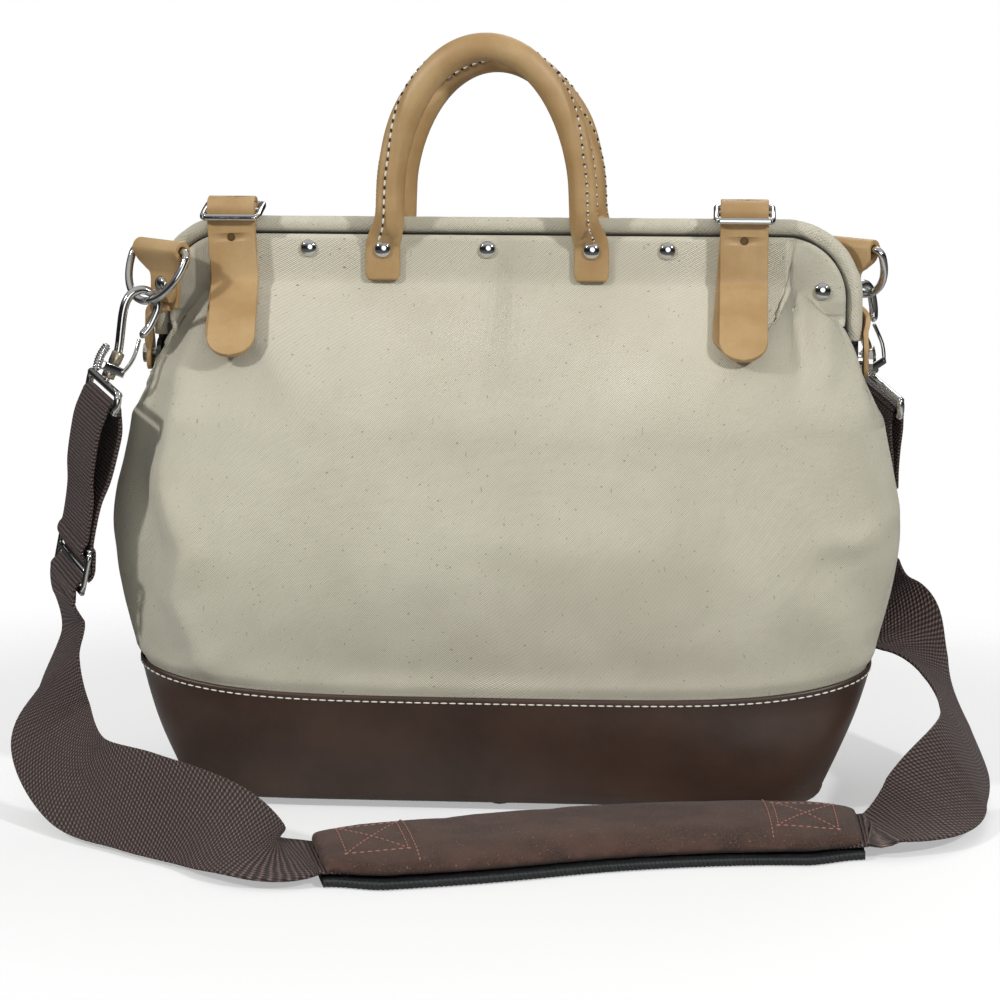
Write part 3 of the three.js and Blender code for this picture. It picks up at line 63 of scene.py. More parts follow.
def makeCamera():
    data = bpy.data.cameras.new("camera")
    data.lens = view["lens"]
    data.sensor_width = view["sensor"]
    data.shift_x, data.shift_y = view["shift"]
    data.clip_start = view["near"]
    camera = bpy.data.objects.new("camera", data)
    scene.collection.objects.link(camera)
    turn, height = math.radians(view["turn"]), math.radians(view["height"])
    toCamera = Vector((
        math.sin(turn) * math.cos(height),
        -math.cos(turn) * math.cos(height),
        math.sin(height),
    ))
    camera.location = Vector(view["target"]) + toCamera * view["distance"]
    camera.rotation_euler = (-toCamera).to_track_quat("-Z", "Y").to_euler()
    scene.camera = camera


makeCamera()
print("camera placed")


# A socket whose arithmetic adds Math nodes to its material.
class Socket:
    def __init__(self, shader, socket):
        self.shader = shader
        self.socket = socket

    def maths(self, operation, *values):
        return self.shader.add("ShaderNodeMath", {"operation": operation}, dict(enumerate(values)))

    def __add__(self, other):
        return self.maths("ADD", self, other)

    __radd__ = __add__

    def __sub__(self, other):
        return self.maths("SUBTRACT", self, other)

    def __rsub__(self, other):
        return self.maths("SUBTRACT", other, self)

    def __mul__(self, other):
        return self.maths("MULTIPLY", self, other)

    def __truediv__(self, other):
        return self.maths("DIVIDE", self, other)

    def __pow__(self, other):
        return self.maths("POWER", self, other)

    def __abs__(self):
        return self.maths("ABSOLUTE", self)

    def sine(self):
        return self.maths("SINE", self)

    def part(self):
        return self.maths("FRACT", self)

    def top(self, other):
        return self.maths("MAXIMUM", self, other)

    def step(self, low, high):
        settings = {"interpolation_type": "SMOOTHSTEP"}
        return self.shader.add("ShaderNodeMapRange", settings, {0: self, 1: low, 2: high})


# One material, or the world, and its nodes.
class Shader:
    def __init__(self, name, last="Principled BSDF"):
        kind = bpy.data.worlds if last == "World Output" else bpy.data.materials
        self.owner = kind.new(name)
        self.owner.use_nodes = True
        self.tree = self.owner.node_tree
        self.last = self.tree.nodes[last]

    def put(self, target, value):
        if isinstance(value, Socket):
            self.tree.links.new(value.socket, target)
        elif isinstance(value, tuple) and len(value) == 3 and target.type == "RGBA":
            target.default_value = (*value, 1)
        else:
            target.default_value = value

    def add(self, kind, settings=None, inputs=None, output=0):
        node = self.tree.nodes.new(kind)
        for key, value in (settings or {}).items():
            if key == "stops":
                ramp = node.color_ramp
                while len(ramp.elements) < len(value):
                    ramp.elements.new(0.5)
                for element, (place, colour) in zip(ramp.elements, value):
                    element.position = place
                    element.color = (*colour, 1)
            else:
                setattr(node, key, value)
        for key, value in (inputs or {}).items():
            self.put(node.inputs[key], value)
        return Socket(self, node.outputs[output])

    def coordinates(self, kind):
        return self.add("ShaderNodeTexCoord", output=kind)

    def axes(self, vector):
        node = self.tree.nodes.new("ShaderNodeSeparateXYZ")
        self.put(node.inputs[0], vector)
        return [Socket(self, s) for s in node.outputs]

    def noise(self, vector, scale, detail=3.0, rough=0.55):
        inputs = {"Vector": vector, "Scale": scale, "Detail": detail, "Roughness": rough}
        return self.add("ShaderNodeTexNoise", None, inputs)

    def stretched(self, vector, scale):
        return self.add("ShaderNodeMapping", None, {"Vector": vector, "Scale": scale})

    def mix(self, factor, one, other):
        return self.add("ShaderNodeMix", {"data_type": "RGBA"}, {0: factor, 6: one, 7: other}, 2)

    def bump(self, height, strength, distance, below=None):
        inputs = {"Height": height, "Strength": strength, "Distance": distance}
        if below:
            inputs["Normal"] = below
        return self.add("ShaderNodeBump", None, inputs)

    def finish(self, values):
        for name, value in values.items():
            self.put(self.last.inputs[name], value)
        return self.owner


# A colour as a screen shows it, 0 to 255, made linear.
def tone(red, green, blue):
    return tuple(
        c / 12.92 if c <= 0.04045 else ((c + 0.055) / 1.055) ** 2.4
        for c in (red / 255, green / 255, blue / 255)
    )


canvasLook = {
    "cream": tone(205, 200, 180),
    "pale": tone(216, 211, 192),
    # shade is the painted shade in the gaps of the weave
    "shade": tone(152, 146, 124),
    "fleck": tone(104, 84, 62),
    "thread": 0.00105,
    "relief": 0.00022,
}


def canvasMaterial():
    s = Shader("canvas")
    uv = s.coordinates("UV")
    u, v, _ = s.axes(uv)
    turn = 2 * math.pi / canvasLook["thread"]
    warp = s.noise(uv, 220.0, 2.0) - 0.5
    one = ((u + v) * turn + warp * 2.4).sine()
    other = ((u - v) * (turn * 0.5) - warp * 2.0).sine()
    weave = one * 0.6 + other * 0.25
    place = s.coordinates("Object")
    cloud = s.noise(place, 14.0, 4.0).step(0.35, 0.7)
    base = s.mix(cloud, canvasLook["cream"], canvasLook["pale"])
    # the gaps between the threads are darkened towards the shade colour: painted shade in the weave
    gaps = weave.step(-0.75, 0.35)
    woven = s.mix(gaps * 0.55 + 0.45, canvasLook["shade"], base)
    slubs = s.noise(s.stretched(uv, (1.0, 0.28, 1.0)), 620.0, 1.0).step(0.72, 0.78)
    seeds = s.noise(uv, 620.0, 0.0).step(0.79, 0.84)
    marked = s.mix((slubs * 0.4).top(seeds * 0.6), woven, canvasLook["fleck"])
    fuzz = s.noise(uv, 2400.0, 2.0)
    height = weave + fuzz * 0.8 + s.noise(uv, 500.0, 2.0) * 0.8
    normal = s.bump(height, 0.9, canvasLook["relief"])
    return s.finish({"Base Color": marked, "Roughness": 0.93, "Normal": normal, "Sheen Weight": 0.12})


vinylLook = {"brown": tone(66, 48, 38), "dark": tone(50, 35, 27), "grain": 1500.0}


def vinylMaterial():
    s = Shader("vinyl")
    place = s.coordinates("Object")
    cloud = s.noise(place, 18.0, 4.0).step(0.3, 0.7)
    colour = s.mix(cloud, vinylLook["dark"], vinylLook["brown"])
    cells = s.add("ShaderNodeTexVoronoi", {"feature": "F1"}, {"Vector": place, "Scale": vinylLook["grain"]})
    rough = 0.36 + s.noise(place, 60.0, 3.0) * 0.16
    soft = s.bump(s.noise(place, 45.0, 3.0), 0.35, 0.0012)
    normal = s.bump(cells, 0.22, 0.00012, soft)
    return s.finish({"Base Color": colour, "Roughness": rough, "Normal": normal})


leatherLook = {
    "tan": tone(180, 150, 105),
    "deep": tone(160, 127, 82),
    "pores": tone(132, 88, 50),
    "grain": 1300.0,
}


def leatherMaterial():
    s = Shader("leather")
    place = s.coordinates("Object")
    cloud = s.noise(place, 32.0, 5.0).step(0.3, 0.72)
    colour = s.mix(cloud, leatherLook["deep"], leatherLook["tan"])
    streak = s.noise(s.stretched(place, (1.0, 1.0, 0.15)), 420.0, 3.0).step(0.45, 0.8)
    streaked = s.mix(streak * 0.28, colour, leatherLook["deep"])
    pores = s.add("ShaderNodeTexVoronoi", {"feature": "F1"}, {"Vector": place, "Scale": leatherLook["grain"]})
    dark = 1 - pores.step(0.0, 0.28)
    finished = s.mix(dark * 0.3, streaked, leatherLook["pores"])
    rough = 0.40 + s.noise(place, 90.0, 3.0) * 0.22
    height = s.noise(place, 700.0, 4.0) + pores * 0.5
    normal = s.bump(height, 0.3, 0.0002)
    return s.finish({"Base Color": finished, "Roughness": rough, "Normal": normal})


def edgeMaterial():
    s = Shader("leatherEdge")
    place = s.coordinates("Object")
    fibres = s.noise(place, 1500.0, 3.0)
    colour = s.mix(fibres.step(0.3, 0.7), tone(150, 96, 52), tone(186, 130, 80))
    return s.finish({"Base Color": colour, "Roughness": 0.8, "Normal": s.bump(fibres, 0.5, 0.0003)})


def steelMaterial(name, colour, rough):
    s = Shader(name)
    place = s.coordinates("Object")
    haze = s.noise(place, 240.0, 4.0)
    scratch = s.noise(s.stretched(place, (1.0, 9.0, 1.0)), 700.0, 2.0)
    roughness = rough + haze.step(0.4, 0.8) * 0.1 + scratch.step(0.62, 0.7) * 0.08
    shade = s.mix(haze * 0.4, colour, tuple(c * 0.8 for c in colour))
    normal = s.bump(haze, 0.08, 0.0002)
    return s.finish({"Base Color": shade, "Metallic": 1.0, "Roughness": roughness, "Normal": normal})


def rubberMaterial():
    s = Shader("rubber")
    place = s.coordinates("Object")
    dust = s.noise(place, 260.0, 4.0).step(0.5, 0.8)
    colour = s.mix(dust * 0.4, (0.008, 0.009, 0.01), (0.035, 0.037, 0.04))
    rough = 0.55 + dust * 0.2
    return s.finish({"Base Color": colour, "Roughness": rough, "Normal": s.bump(dust, 0.25, 0.0003)})


webbingLook = {
    "brown": tone(104, 80, 74),
    # the dark colour paints the shade in the valleys between the ribs, the pale one a painted highlight on the rib
    # tops
    "dark": tone(26, 18, 16),
    "paintedGlint": tone(156, 132, 124),
    "rib": 0.0019,
    "column": 0.0125,
    "cell": 0.0021,
}


def webbingMaterial():
    s = Shader("webbing")
    uv = s.coordinates("UV")
    u, v, _ = s.axes(uv)
    full = 2 * math.pi
    slant = abs((v / webbingLook["column"]).part() - 0.5) * 2
    warp = s.noise(uv, 160.0, 2.0) - 0.5
    row = u / webbingLook["rib"] + slant * 0.12 + warp * 0.15
    rib = (row * full).sine()
    cell = ((v / webbingLook["cell"] + row * 0.5) * full).sine()
    height = rib * 0.5 + cell * 0.4
    strands = s.noise(s.stretched(uv, (1.0, 4.0, 1.0)), 1400.0, 2.0)
    # painted shade: the valleys between the ribs darker, the rib tops lighter
    light = (height + strands * 0.5).step(-0.15, 0.95)
    colour = s.mix(light, webbingLook["dark"], webbingLook["brown"])
    # a painted highlight on the highest rib tops
    paintedGlintMask = (height * 0.6 + strands).step(0.86, 1.1)
    withPaintedGlint = s.mix(paintedGlintMask * 0.7, colour, webbingLook["paintedGlint"])
    normal = s.bump(height + strands * 0.4, 1.0, 0.0009)
    return s.finish({"Base Color": withPaintedGlint, "Roughness": 0.62, "Normal": normal, "Sheen Weight": 0.05})


padLook = {"brown": tone(76, 54, 45), "dark": tone(44, 30, 25), "fibre": tone(140, 116, 102)}


def padMaterial():
    s = Shader("suede")
    place = s.coordinates("Object")
    cloud = s.noise(place, 40.0, 4.0).step(0.3, 0.7)
    colour = s.mix(cloud, padLook["dark"], padLook["brown"])
    nap = s.noise(place, 1100.0, 3.0, 0.7)
    napped = s.mix(nap.step(0.35, 0.7), colour, padLook["brown"])
    lint = s.noise(place, 900.0, 1.0).step(0.70, 0.76)
    finished = s.mix(lint * 0.65, napped, padLook["fibre"])
    normal = s.bump(nap + cloud * 0.3, 0.6, 0.0005)
    return s.finish({"Base Color": finished, "Roughness": 0.97, "Normal": normal, "Sheen Weight": 0.06})


def threadMaterial(name, colour):
    s = Shader(name)
    place = s.coordinates("Object")
    twist = s.noise(place, 3000.0, 2.0)
    shade = s.mix(twist, tuple(c * 0.72 for c in colour), colour)
    return s.finish({"Base Color": shade, "Roughness": 0.75, "Normal": s.bump(twist, 0.4, 0.0002)})


def boardMaterial():
    s = Shader("board")
    place = s.coordinates("Object")
    fibres = s.noise(place, 300.0, 4.0)
    colour = s.mix(fibres, tone(96, 80, 60), tone(130, 110, 84))
    return s.finish({"Base Color": colour, "Roughness": 0.9, "Normal": s.bump(fibres, 0.4, 0.0004)})


canvas = canvasMaterial()
vinyl = vinylMaterial()
leather = leatherMaterial()
rawEdge = edgeMaterial()
nickel = steelMaterial("nickel", (0.66, 0.66, 0.65), 0.06)
frameSteel = steelMaterial("frameSteel", (0.06, 0.06, 0.06), 0.4)
brass = steelMaterial("sleeveMetal", (0.52, 0.46, 0.34), 0.3)
rubber = rubberMaterial()
webbing = webbingMaterial()
suede = padMaterial()
whiteThread = threadMaterial("whiteThread", tone(232, 228, 216))
roseThread = threadMaterial("roseThread", tone(160, 112, 100))
# dark beads in the needle holes: painted shade inside the holes
holeShade = threadMaterial("holeShade", tone(58, 34, 20))
board = boardMaterial()
print("materials made")


# An object from points and faces. uvs has one pair for each corner of each face.
def makeObject(name, points, faces, material, uvs=None):
    mesh = bpy.data.meshes.new(name)
    mesh.from_pydata([tuple(map(float, p)) for p in points], [], faces)
    if uvs is not None:
        layer = mesh.uv_layers.new(name="UVMap")
        layer.data.foreach_set("uv", np.asarray(uvs, dtype=np.float32).ravel())
    mesh.materials.append(material)
    mesh.shade_smooth()
    made = bpy.data.objects.new(name, mesh)
    scene.collection.objects.link(made)
    return made


def unit(v):
    v = np.asarray(v, float)
    return v / np.maximum(np.linalg.norm(v, axis=-1, keepdims=True), 1e-12)


# Six times the volume inside closed faces: negative where they point inwards.
def signedVolume(points, faces):
    total = 0.0
    for face in faces:
        a = points[face[0]]
        for b, c in zip(face[1:-1], face[2:]):
            total += float(np.dot(a, np.cross(points[b], points[c])))
    return total


# How far along a path each of its points lies.
def distances(path):
    steps = np.linalg.norm(np.diff(path, axis=0), axis=1)
    return np.concatenate([[0], np.cumsum(steps)])


# The rows of a path at the wanted distances, where gone has the distances of its own rows.
def spaced(path, wanted, gone):
    path = np.asarray(path)
    return np.stack([np.interp(wanted, gone, path[:, k]) for k in range(path.shape[1])], axis=1)


# A closed body from rings of equally many points.
def loft(name, rings, material, joined=False):
    rings = np.asarray(rings, float)
    n, m = rings.shape[:2]
    centres, widest = rings.mean(axis=1), rings[n // 2]
    u = distances(np.append(centres, centres[:1], axis=0))
    v = distances(np.append(widest, widest[:1], axis=0))
    faces, uvs = [], []
    for i in range(n if joined else n - 1):
        j = (i + 1) % n
        for k in range(m):
            l = (k + 1) % m
            faces.append((i * m + k, i * m + l, j * m + l, j * m + k))
            uvs += [(u[i], v[k]), (u[i], v[k + 1]), (u[i + 1], v[k + 1]), (u[i + 1], v[k])]
    if not joined:
        for ends in (list(range(m - 1, -1, -1)), [(n - 1) * m + k for k in range(m)]):
            faces.append(tuple(ends))
            uvs += [(v[k % m], 0.0) for k in ends]
    points = rings.reshape(-1, 3)
    if signedVolume(points, faces) < 0:
        turned, start = [], 0
        for i, face in enumerate(faces):
            turned += uvs[start:start + len(face)][::-1]
            start += len(face)
            faces[i] = face[::-1]
        uvs = turned
    return makeObject(name, points, faces, material, uvs)


def tangents(path, joined=False):
    if joined:
        return unit(np.roll(path, -1, axis=0) - np.roll(path, 1, axis=0))
    return unit(np.gradient(path, axis=0))


# Directions square to a path that lies on the ground.
def groundSides(path):
    along = tangents(path)
    return np.stack([-along[:, 1], along[:, 0], 0 * along[:, 0]], axis=1)


# Directions square to a path that stands upright along X.
def uprightSides(path):
    along = tangents(path)
    return np.stack([-along[:, 2], 0 * along[:, 0], along[:, 0]], axis=1)


# A body whose section runs along a path. sides gives the section's first axis at each point.
def sweep(name, path, sides, section, material, joined=False):
    path = np.asarray(path, float)
    sides = np.broadcast_to(np.asarray(sides, float), path.shape)
    section = np.asarray(section, float)
    if section.ndim == 2:
        section = np.broadcast_to(section, (len(path), *section.shape))
    along = tangents(path, joined)
    side = unit(sides - along * np.sum(sides * along, axis=1, keepdims=True))
    over = np.cross(side, along)
    rings = path[:, None] + side[:, None] * section[..., :1] + over[:, None] * section[..., 1:]
    return loft(name, rings, material, joined)


def circle(radius, count=14):
    t = np.arange(count) / count * 2 * math.pi
    return radius * np.stack([np.cos(t), np.sin(t)], axis=1)


# Points on an arc, at angles in degrees.
def arc(x, y, radius, angles):
    return [(x + radius * math.cos(math.radians(a)), y + radius * math.sin(math.radians(a))) for a in angles]


# A rectangle with rounded corners, as points round its outline.
def roundRect(width, height, radius, steps=3):
    corners = []
    for x, y, start in ((1, 1, 0), (-1, 1, 90), (-1, -1, 180), (1, -1, 270)):
        turn = [start + 90 * k / steps for k in range(steps + 1)]
        corners += arc(x * (width / 2 - radius), y * (height / 2 - radius), radius, turn)
    return np.array(corners)


# A smooth curve's point between p1 and p2, with their neighbours p0 and p3.
def spline(p0, p1, p2, p3, t):
    return 0.5 * (
        2 * p1 + (p2 - p0) * t + (2 * p0 - 5 * p1 + 4 * p2 - p3) * t ** 2
        + (3 * p1 - p0 - 3 * p2 + p3) * t ** 3
    )


# A smooth curve's value between a and b, with the slopes it has there.
def hermite(a, slopeA, b, slopeB, t):
    return (
        a * (2 * t ** 3 - 3 * t ** 2 + 1) + slopeA * (t ** 3 - 2 * t ** 2 + t)
        + b * (3 * t ** 2 - 2 * t ** 3) + slopeB * (t ** 3 - t ** 2)
    )


# Rows through given ones, on a smooth curve and evenly spaced by their first three columns.
def smoothRows(rows, count, joined=False):
    rows = np.asarray(rows, float)
    n, fine = len(rows), 24
    spans = n if joined else n - 1
    get = lambda i: rows[i % n] if joined else rows[min(max(i, 0), n - 1)]
    out = []
    for i in range(spans):
        p0, p1, p2, p3 = get(i - 1), get(i), get(i + 1), get(i + 2)
        if not joined and i == 0:
            p0 = 2 * p1 - p2
        if not joined and i == spans - 1:
            p3 = 2 * p2 - p1
        out += [spline(p0, p1, p2, p3, k / fine) for k in range(fine)]
    out.append(get(0) if joined else rows[-1])
    out = np.array(out)
    gone = distances(out[:, :3])
    even = spaced(out, np.linspace(0, gone[-1], count + 1 if joined else count), gone)
    return even[:-1] if joined else even


def smoothStep(t):
    t = np.clip(t, 0, 1)
    return t * t * (3 - 2 * t)


# Joins several objects' meshes into the first.
def joinInto(first, *others):
    bpy.ops.object.select_all(action="DESELECT")
    for o in (first, *others):
        o.select_set(True)
    bpy.context.view_layer.objects.active = first
    bpy.ops.object.join()


# Applies an object's modifiers, so that its mesh is final.
def applied(obj):
    shown = bpy.context.evaluated_depsgraph_get()
    mesh = bpy.data.meshes.new_from_object(obj.evaluated_get(shown))
    obj.modifiers.clear()
    obj.data = mesh
    return obj


# Hides the solids that a piece stands for, and hangs the piece on the body that carries it.
def carried(piece, body, finish, *stands):
    if stands:
        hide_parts(*stands)
    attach(piece, body)


# Adds a modifier with its settings, and applies it.
def modified(obj, kind, **settings):
    modifier = obj.modifiers.new(kind, kind)
    for key, value in settings.items():
        setattr(modifier, key, value)
    applied(obj)


# A geometry node tree with named inputs. add gives a new node's first output.
class Tree:
    def __init__(self, name, sizes):
        self.tree = bpy.data.node_groups.new(name, "GeometryNodeTree")
        kinds = {"Geometry": "NodeSocketGeometry", "Material": "NodeSocketMaterial"}
        for size, value in {"Geometry": None, **sizes, "Material": None}.items():
            kind = kinds.get(size, "NodeSocketFloat")
            socket = self.tree.interface.new_socket(size, in_out="INPUT", socket_type=kind)
            if value is not None:
                socket.default_value = value
        self.tree.interface.new_socket("Geometry", in_out="OUTPUT", socket_type="NodeSocketGeometry")
        self.start = self.tree.nodes.new("NodeGroupInput").outputs
        self.end = self.tree.nodes.new("NodeGroupOutput").inputs[0]

    def add(self, kind, inputs=None, **settings):
        node = self.tree.nodes.new(kind)
        for key, value in settings.items():
            setattr(node, key, value)
        for key, value in (inputs or {}).items():
            if isinstance(value, bpy.types.NodeSocket):
                self.tree.links.new(value, node.inputs[key])
            else:
                node.inputs[key].default_value = value
        return node.outputs[0]

    def vector(self, *values):
        return self.add("ShaderNodeCombineXYZ", dict(enumerate(values)))

    def maths(self, operation, one, other):
        return self.add("ShaderNodeMath", {0: one, 1: other}, operation=operation)

    # Ends the tree with real faces in its material.
    def finish(self, copies, smooth):
        shape = self.add("GeometryNodeRealizeInstances", {0: copies})
        if smooth:
            shape = self.add("GeometryNodeSetShadeSmooth", {0: shape})
        painted = self.add("GeometryNodeSetMaterial", {0: shape, "Material": self.start["Material"]})
        self.tree.links.new(painted, self.end)
        return self.tree


# Stitches along a line: each is a small bead of thread laid along it.
def stitchTree():
    t = Tree("stitches", {"Spacing": 0.004, "Length": 0.003, "Thickness": 0.0008})
    line = t.add("GeometryNodeMeshToCurve", {0: t.start["Geometry"]})
    points = t.add("GeometryNodeCurveToPoints", {"Curve": line, "Length": t.start["Spacing"]}, mode="LENGTH")
    bead = t.add("GeometryNodeMeshUVSphere", {"Segments": 8, "Rings": 6, "Radius": 0.5})
    size = t.vector(t.start["Thickness"], t.start["Thickness"], t.start["Length"])
    copies = t.add("GeometryNodeInstanceOnPoints", {
        "Points": points, "Instance": bead, "Rotation": points.node.outputs["Rotation"], "Scale": size,
    })
    return t.finish(copies, smooth=False)


rivetSizes = {
    "head": 0.0045,
    "rise": 0.0023,
    "under": 0.0002,
    "shank": 0.0014,
    "clinch": 0.0028,
    "clinchDepth": 0.0008,
}


# Dome rivets: head, shank and clinched end, one at each point, facing as its attribute says.
def rivetTree():
    r = rivetSizes
    t = Tree("domeRivets", {"Grip": 0.006})
    grip = t.start["Grip"]
    ball = t.add("GeometryNodeMeshUVSphere", {"Segments": 28, "Rings": 16, "Radius": 1.0})
    dome = t.add("GeometryNodeTransform", {"Geometry": ball, "Scale": (r["head"], r["head"], r["rise"])})
    x, y, z = t.add("ShaderNodeSeparateXYZ", {0: t.add("GeometryNodeInputPosition")}).node.outputs
    flat = t.vector(x, y, t.maths("MAXIMUM", z, -r["under"]))
    head = t.add("GeometryNodeSetPosition", {"Geometry": dome, "Position": flat})
    shank = t.add("GeometryNodeMeshCylinder", {"Vertices": 12, "Radius": r["shank"], "Depth": grip})
    disc = t.add("GeometryNodeMeshCylinder", {"Vertices": 16, "Radius": r["clinch"], "Depth": r["clinchDepth"]})
    whole = t.add("GeometryNodeJoinGeometry")
    for piece, share in ((head, 0), (shank, -0.5), (disc, -1.0)):
        if share:
            low = t.vector(0.0, 0.0, t.maths("MULTIPLY", grip, share))
            piece = t.add("GeometryNodeTransform", {"Geometry": piece, "Translation": low})
        t.tree.links.new(piece, whole.node.inputs[0])
    facing = t.add("GeometryNodeInputNamedAttribute", {"Name": "facing"}, data_type="FLOAT_VECTOR")
    turn = t.add("FunctionNodeAlignRotationToVector", {"Vector": facing}, axis="Z")
    copies = t.add("GeometryNodeInstanceOnPoints", {
        "Points": t.start["Geometry"], "Instance": whole, "Rotation": turn,
    })
    return t.finish(copies, smooth=True)


stitches = stitchTree()
rivets = rivetTree()


# Runs a tree on a mesh of points or lines and keeps the result as a plain mesh.
def grown(name, points, edges, tree, values, facing=None):
    mesh = bpy.data.meshes.new(name)
    mesh.from_pydata([tuple(map(float, p)) for p in points], edges, [])
    if facing is not None:
        data = mesh.attributes.new("facing", "FLOAT_VECTOR", "POINT").data
        data.foreach_set("vector", np.asarray(facing, dtype=np.float32).ravel())
    seed = bpy.data.objects.new(name, mesh)
    scene.collection.objects.link(seed)
    modifier = seed.modifiers.new("grow", "NODES")
    modifier.node_group = tree
    for item in tree.interface.items_tree:
        if item.item_type == "SOCKET" and item.in_out == "INPUT" and item.name in values:
            modifier[item.identifier] = values[item.name]
    seed.update_tag()
    return applied(seed)


def stitchLine(name, path, spacing, length, thickness, thread):
    edges = [(i, i + 1) for i in range(len(path) - 1)]
    values = {"Spacing": spacing, "Length": length, "Thickness": thickness, "Material": thread}
    return grown(name, path, edges, stitches, values)


def rivetSet(name, points, facing, grip):
    values = {"Grip": grip, "Material": nickel}
    return grown(name, points, [], rivets, values, [unit(f) for f in facing])


# Smooth value of a table, as in the part's source.
def tableValue(keys, values, key):
    keys, values, key = (np.asarray(a, float) for a in (keys, values, key))
    last = len(keys) - 1
    after, before = np.minimum(np.arange(last + 1) + 1, last), np.maximum(np.arange(last + 1) - 1, 0)
    slopes = (values[after] - values[before]) / (keys[after] - keys[before])
    i = np.clip(np.searchsorted(keys, key, side="left") - 1, 0, last - 1)
    h = keys[i + 1] - keys[i]
    return hermite(values[i], slopes[i] * h, values[i + 1], slopes[i + 1] * h, (key - keys[i]) / h)


# Values between rows, on a smooth curve.
def between(rows, places):
    rows = np.asarray(rows, float)
    last = len(rows) - 1
    i = np.clip(np.floor(places).astype(int), 0, last - 1)
    p0, p3 = rows[np.maximum(i - 1, 0)], rows[np.minimum(i + 2, last)]
    return spline(p0, rows[i], rows[i + 1], p3, (places - i)[:, None])


bagShape = {
    "heights": (0.012, 0.062, 0.134, 0.194),
    "halfLengths": (0.166, 0.188, 0.204, 0.195),
    "halfDepths": (0.059, 0.068, 0.078, 0.066),
    "powerHeights": (0.012, 0.134, 0.194),
    "powers": (4.2, 2.7, 2.7),
    "seam": 0.062,
    "seamRise": 0.0095,
    "shoulder": 0.194,
}


# How far the vinyl's top edge rises towards the ends of the bag.
def seamRise(angle):
    return bagShape["seamRise"] * np.abs(np.cos(angle)) ** 3


def bodyPoint(z, angle, inset=0.0, squarer=0.0):
    height = np.maximum(z, bagShape["heights"][0])
    power = 2 / (tableValue(bagShape["powerHeights"], bagShape["powers"], height) + squarer)
    a = tableValue(bagShape["heights"], bagShape["halfLengths"], height) - inset
    b = tableValue(bagShape["heights"], bagShape["halfDepths"], height) - inset
    c, s = np.cos(angle), np.sin(angle)
    x = a * np.sign(c) * np.abs(c) ** power
    y = b * np.sign(s) * np.abs(s) ** power
    return np.stack(np.broadcast_arrays(x, y, z), axis=-1)


rim = {
    "half": 0.1785,
    "top": 0.2935,
    "corner": 0.036,
    "pivot": 0.226,
    "rollRadius": 0.0045,
    "rollY": 0.0022,
    "hemY": 0.0053,
    "hemReach": 0.0283,
    "lug": 0.008,
}


# Stations round the mouth, as in the part's source: x, z and the outward normal's x and z.
def rimStations(legEnd, topSteps, legSteps=3, cornerSteps=7):
    half, top, r = rim["half"], rim["top"], rim["corner"]
    rows = [(-half, legEnd + (top - r - legEnd) * i / legSteps, -1, 0) for i in range(legSteps)]
    for i in range(cornerSteps):
        t = math.pi - i / cornerSteps * math.pi / 2
        rows.append((-half + r + r * math.cos(t), top - r + r * math.sin(t), math.cos(t), math.sin(t)))
    rows += [(-half + r + (2 * half - 2 * r) * i / topSteps, top, 0, 1) for i in range(topSteps + 1)]
    for i in range(1, cornerSteps + 1):
        t = math.pi / 2 - i / cornerSteps * math.pi / 2
        rows.append((half - r + r * math.cos(t), top - r + r * math.sin(t), math.cos(t), math.sin(t)))
    rows += [(half, top - r + (legEnd - top + r) * i / legSteps, 1, 0) for i in range(1, legSteps + 1)]
    return np.array(rows)


# The shoulder's guiding columns from left to right: edge, hem and the way the cloth enters it.
def shoulderColumns(side, edge):
    half, lug, pivot = rim["half"], rim["lug"], rim["pivot"]
    past = lug + 0.0023
    hinge = [
        (half + 0.005, 0.00015, pivot - lug - 0.004),
        (half + 0.004, past, pivot - lug - 0.002),
        (half - 0.001, past + 0.0004, pivot + 0.002),
        (half - edge, past, pivot + lug + 0.003),
    ]
    hemReach = rim["hemReach"] - edge
    columns = []

    def hingeColumn(end, row, order):
        x, y, z = row
        point = np.array((end * x, side * y, z))
        into = unit((-end * 0.5 if order > 1 else 0, 0, 1))
        columns.append((point, point - into * 0.003, into))

    for i, row in enumerate(hinge):
        hingeColumn(-1, row, i)
    stations = rimStations(pivot + lug + 0.013, 10)
    for i, (x, z, nx, nz) in enumerate(stations):
        share = min(1, (min(i, len(stations) - 1 - i) + 1) / 6)
        out = lambda by: np.array((x + nx * by, side * rim["hemY"], z + nz * by))
        into = np.array((-nx * (1 - share), -side * 0.5 * share, 0.4 + 0.45 * share))
        columns.append((out(-edge), out(-edge - 0.003 - (hemReach - 0.003) * share), into))
    for i, row in enumerate(reversed(hinge)):
        hingeColumn(1, row, 3 - i)
    return [np.array(part) for part in zip(*columns)]


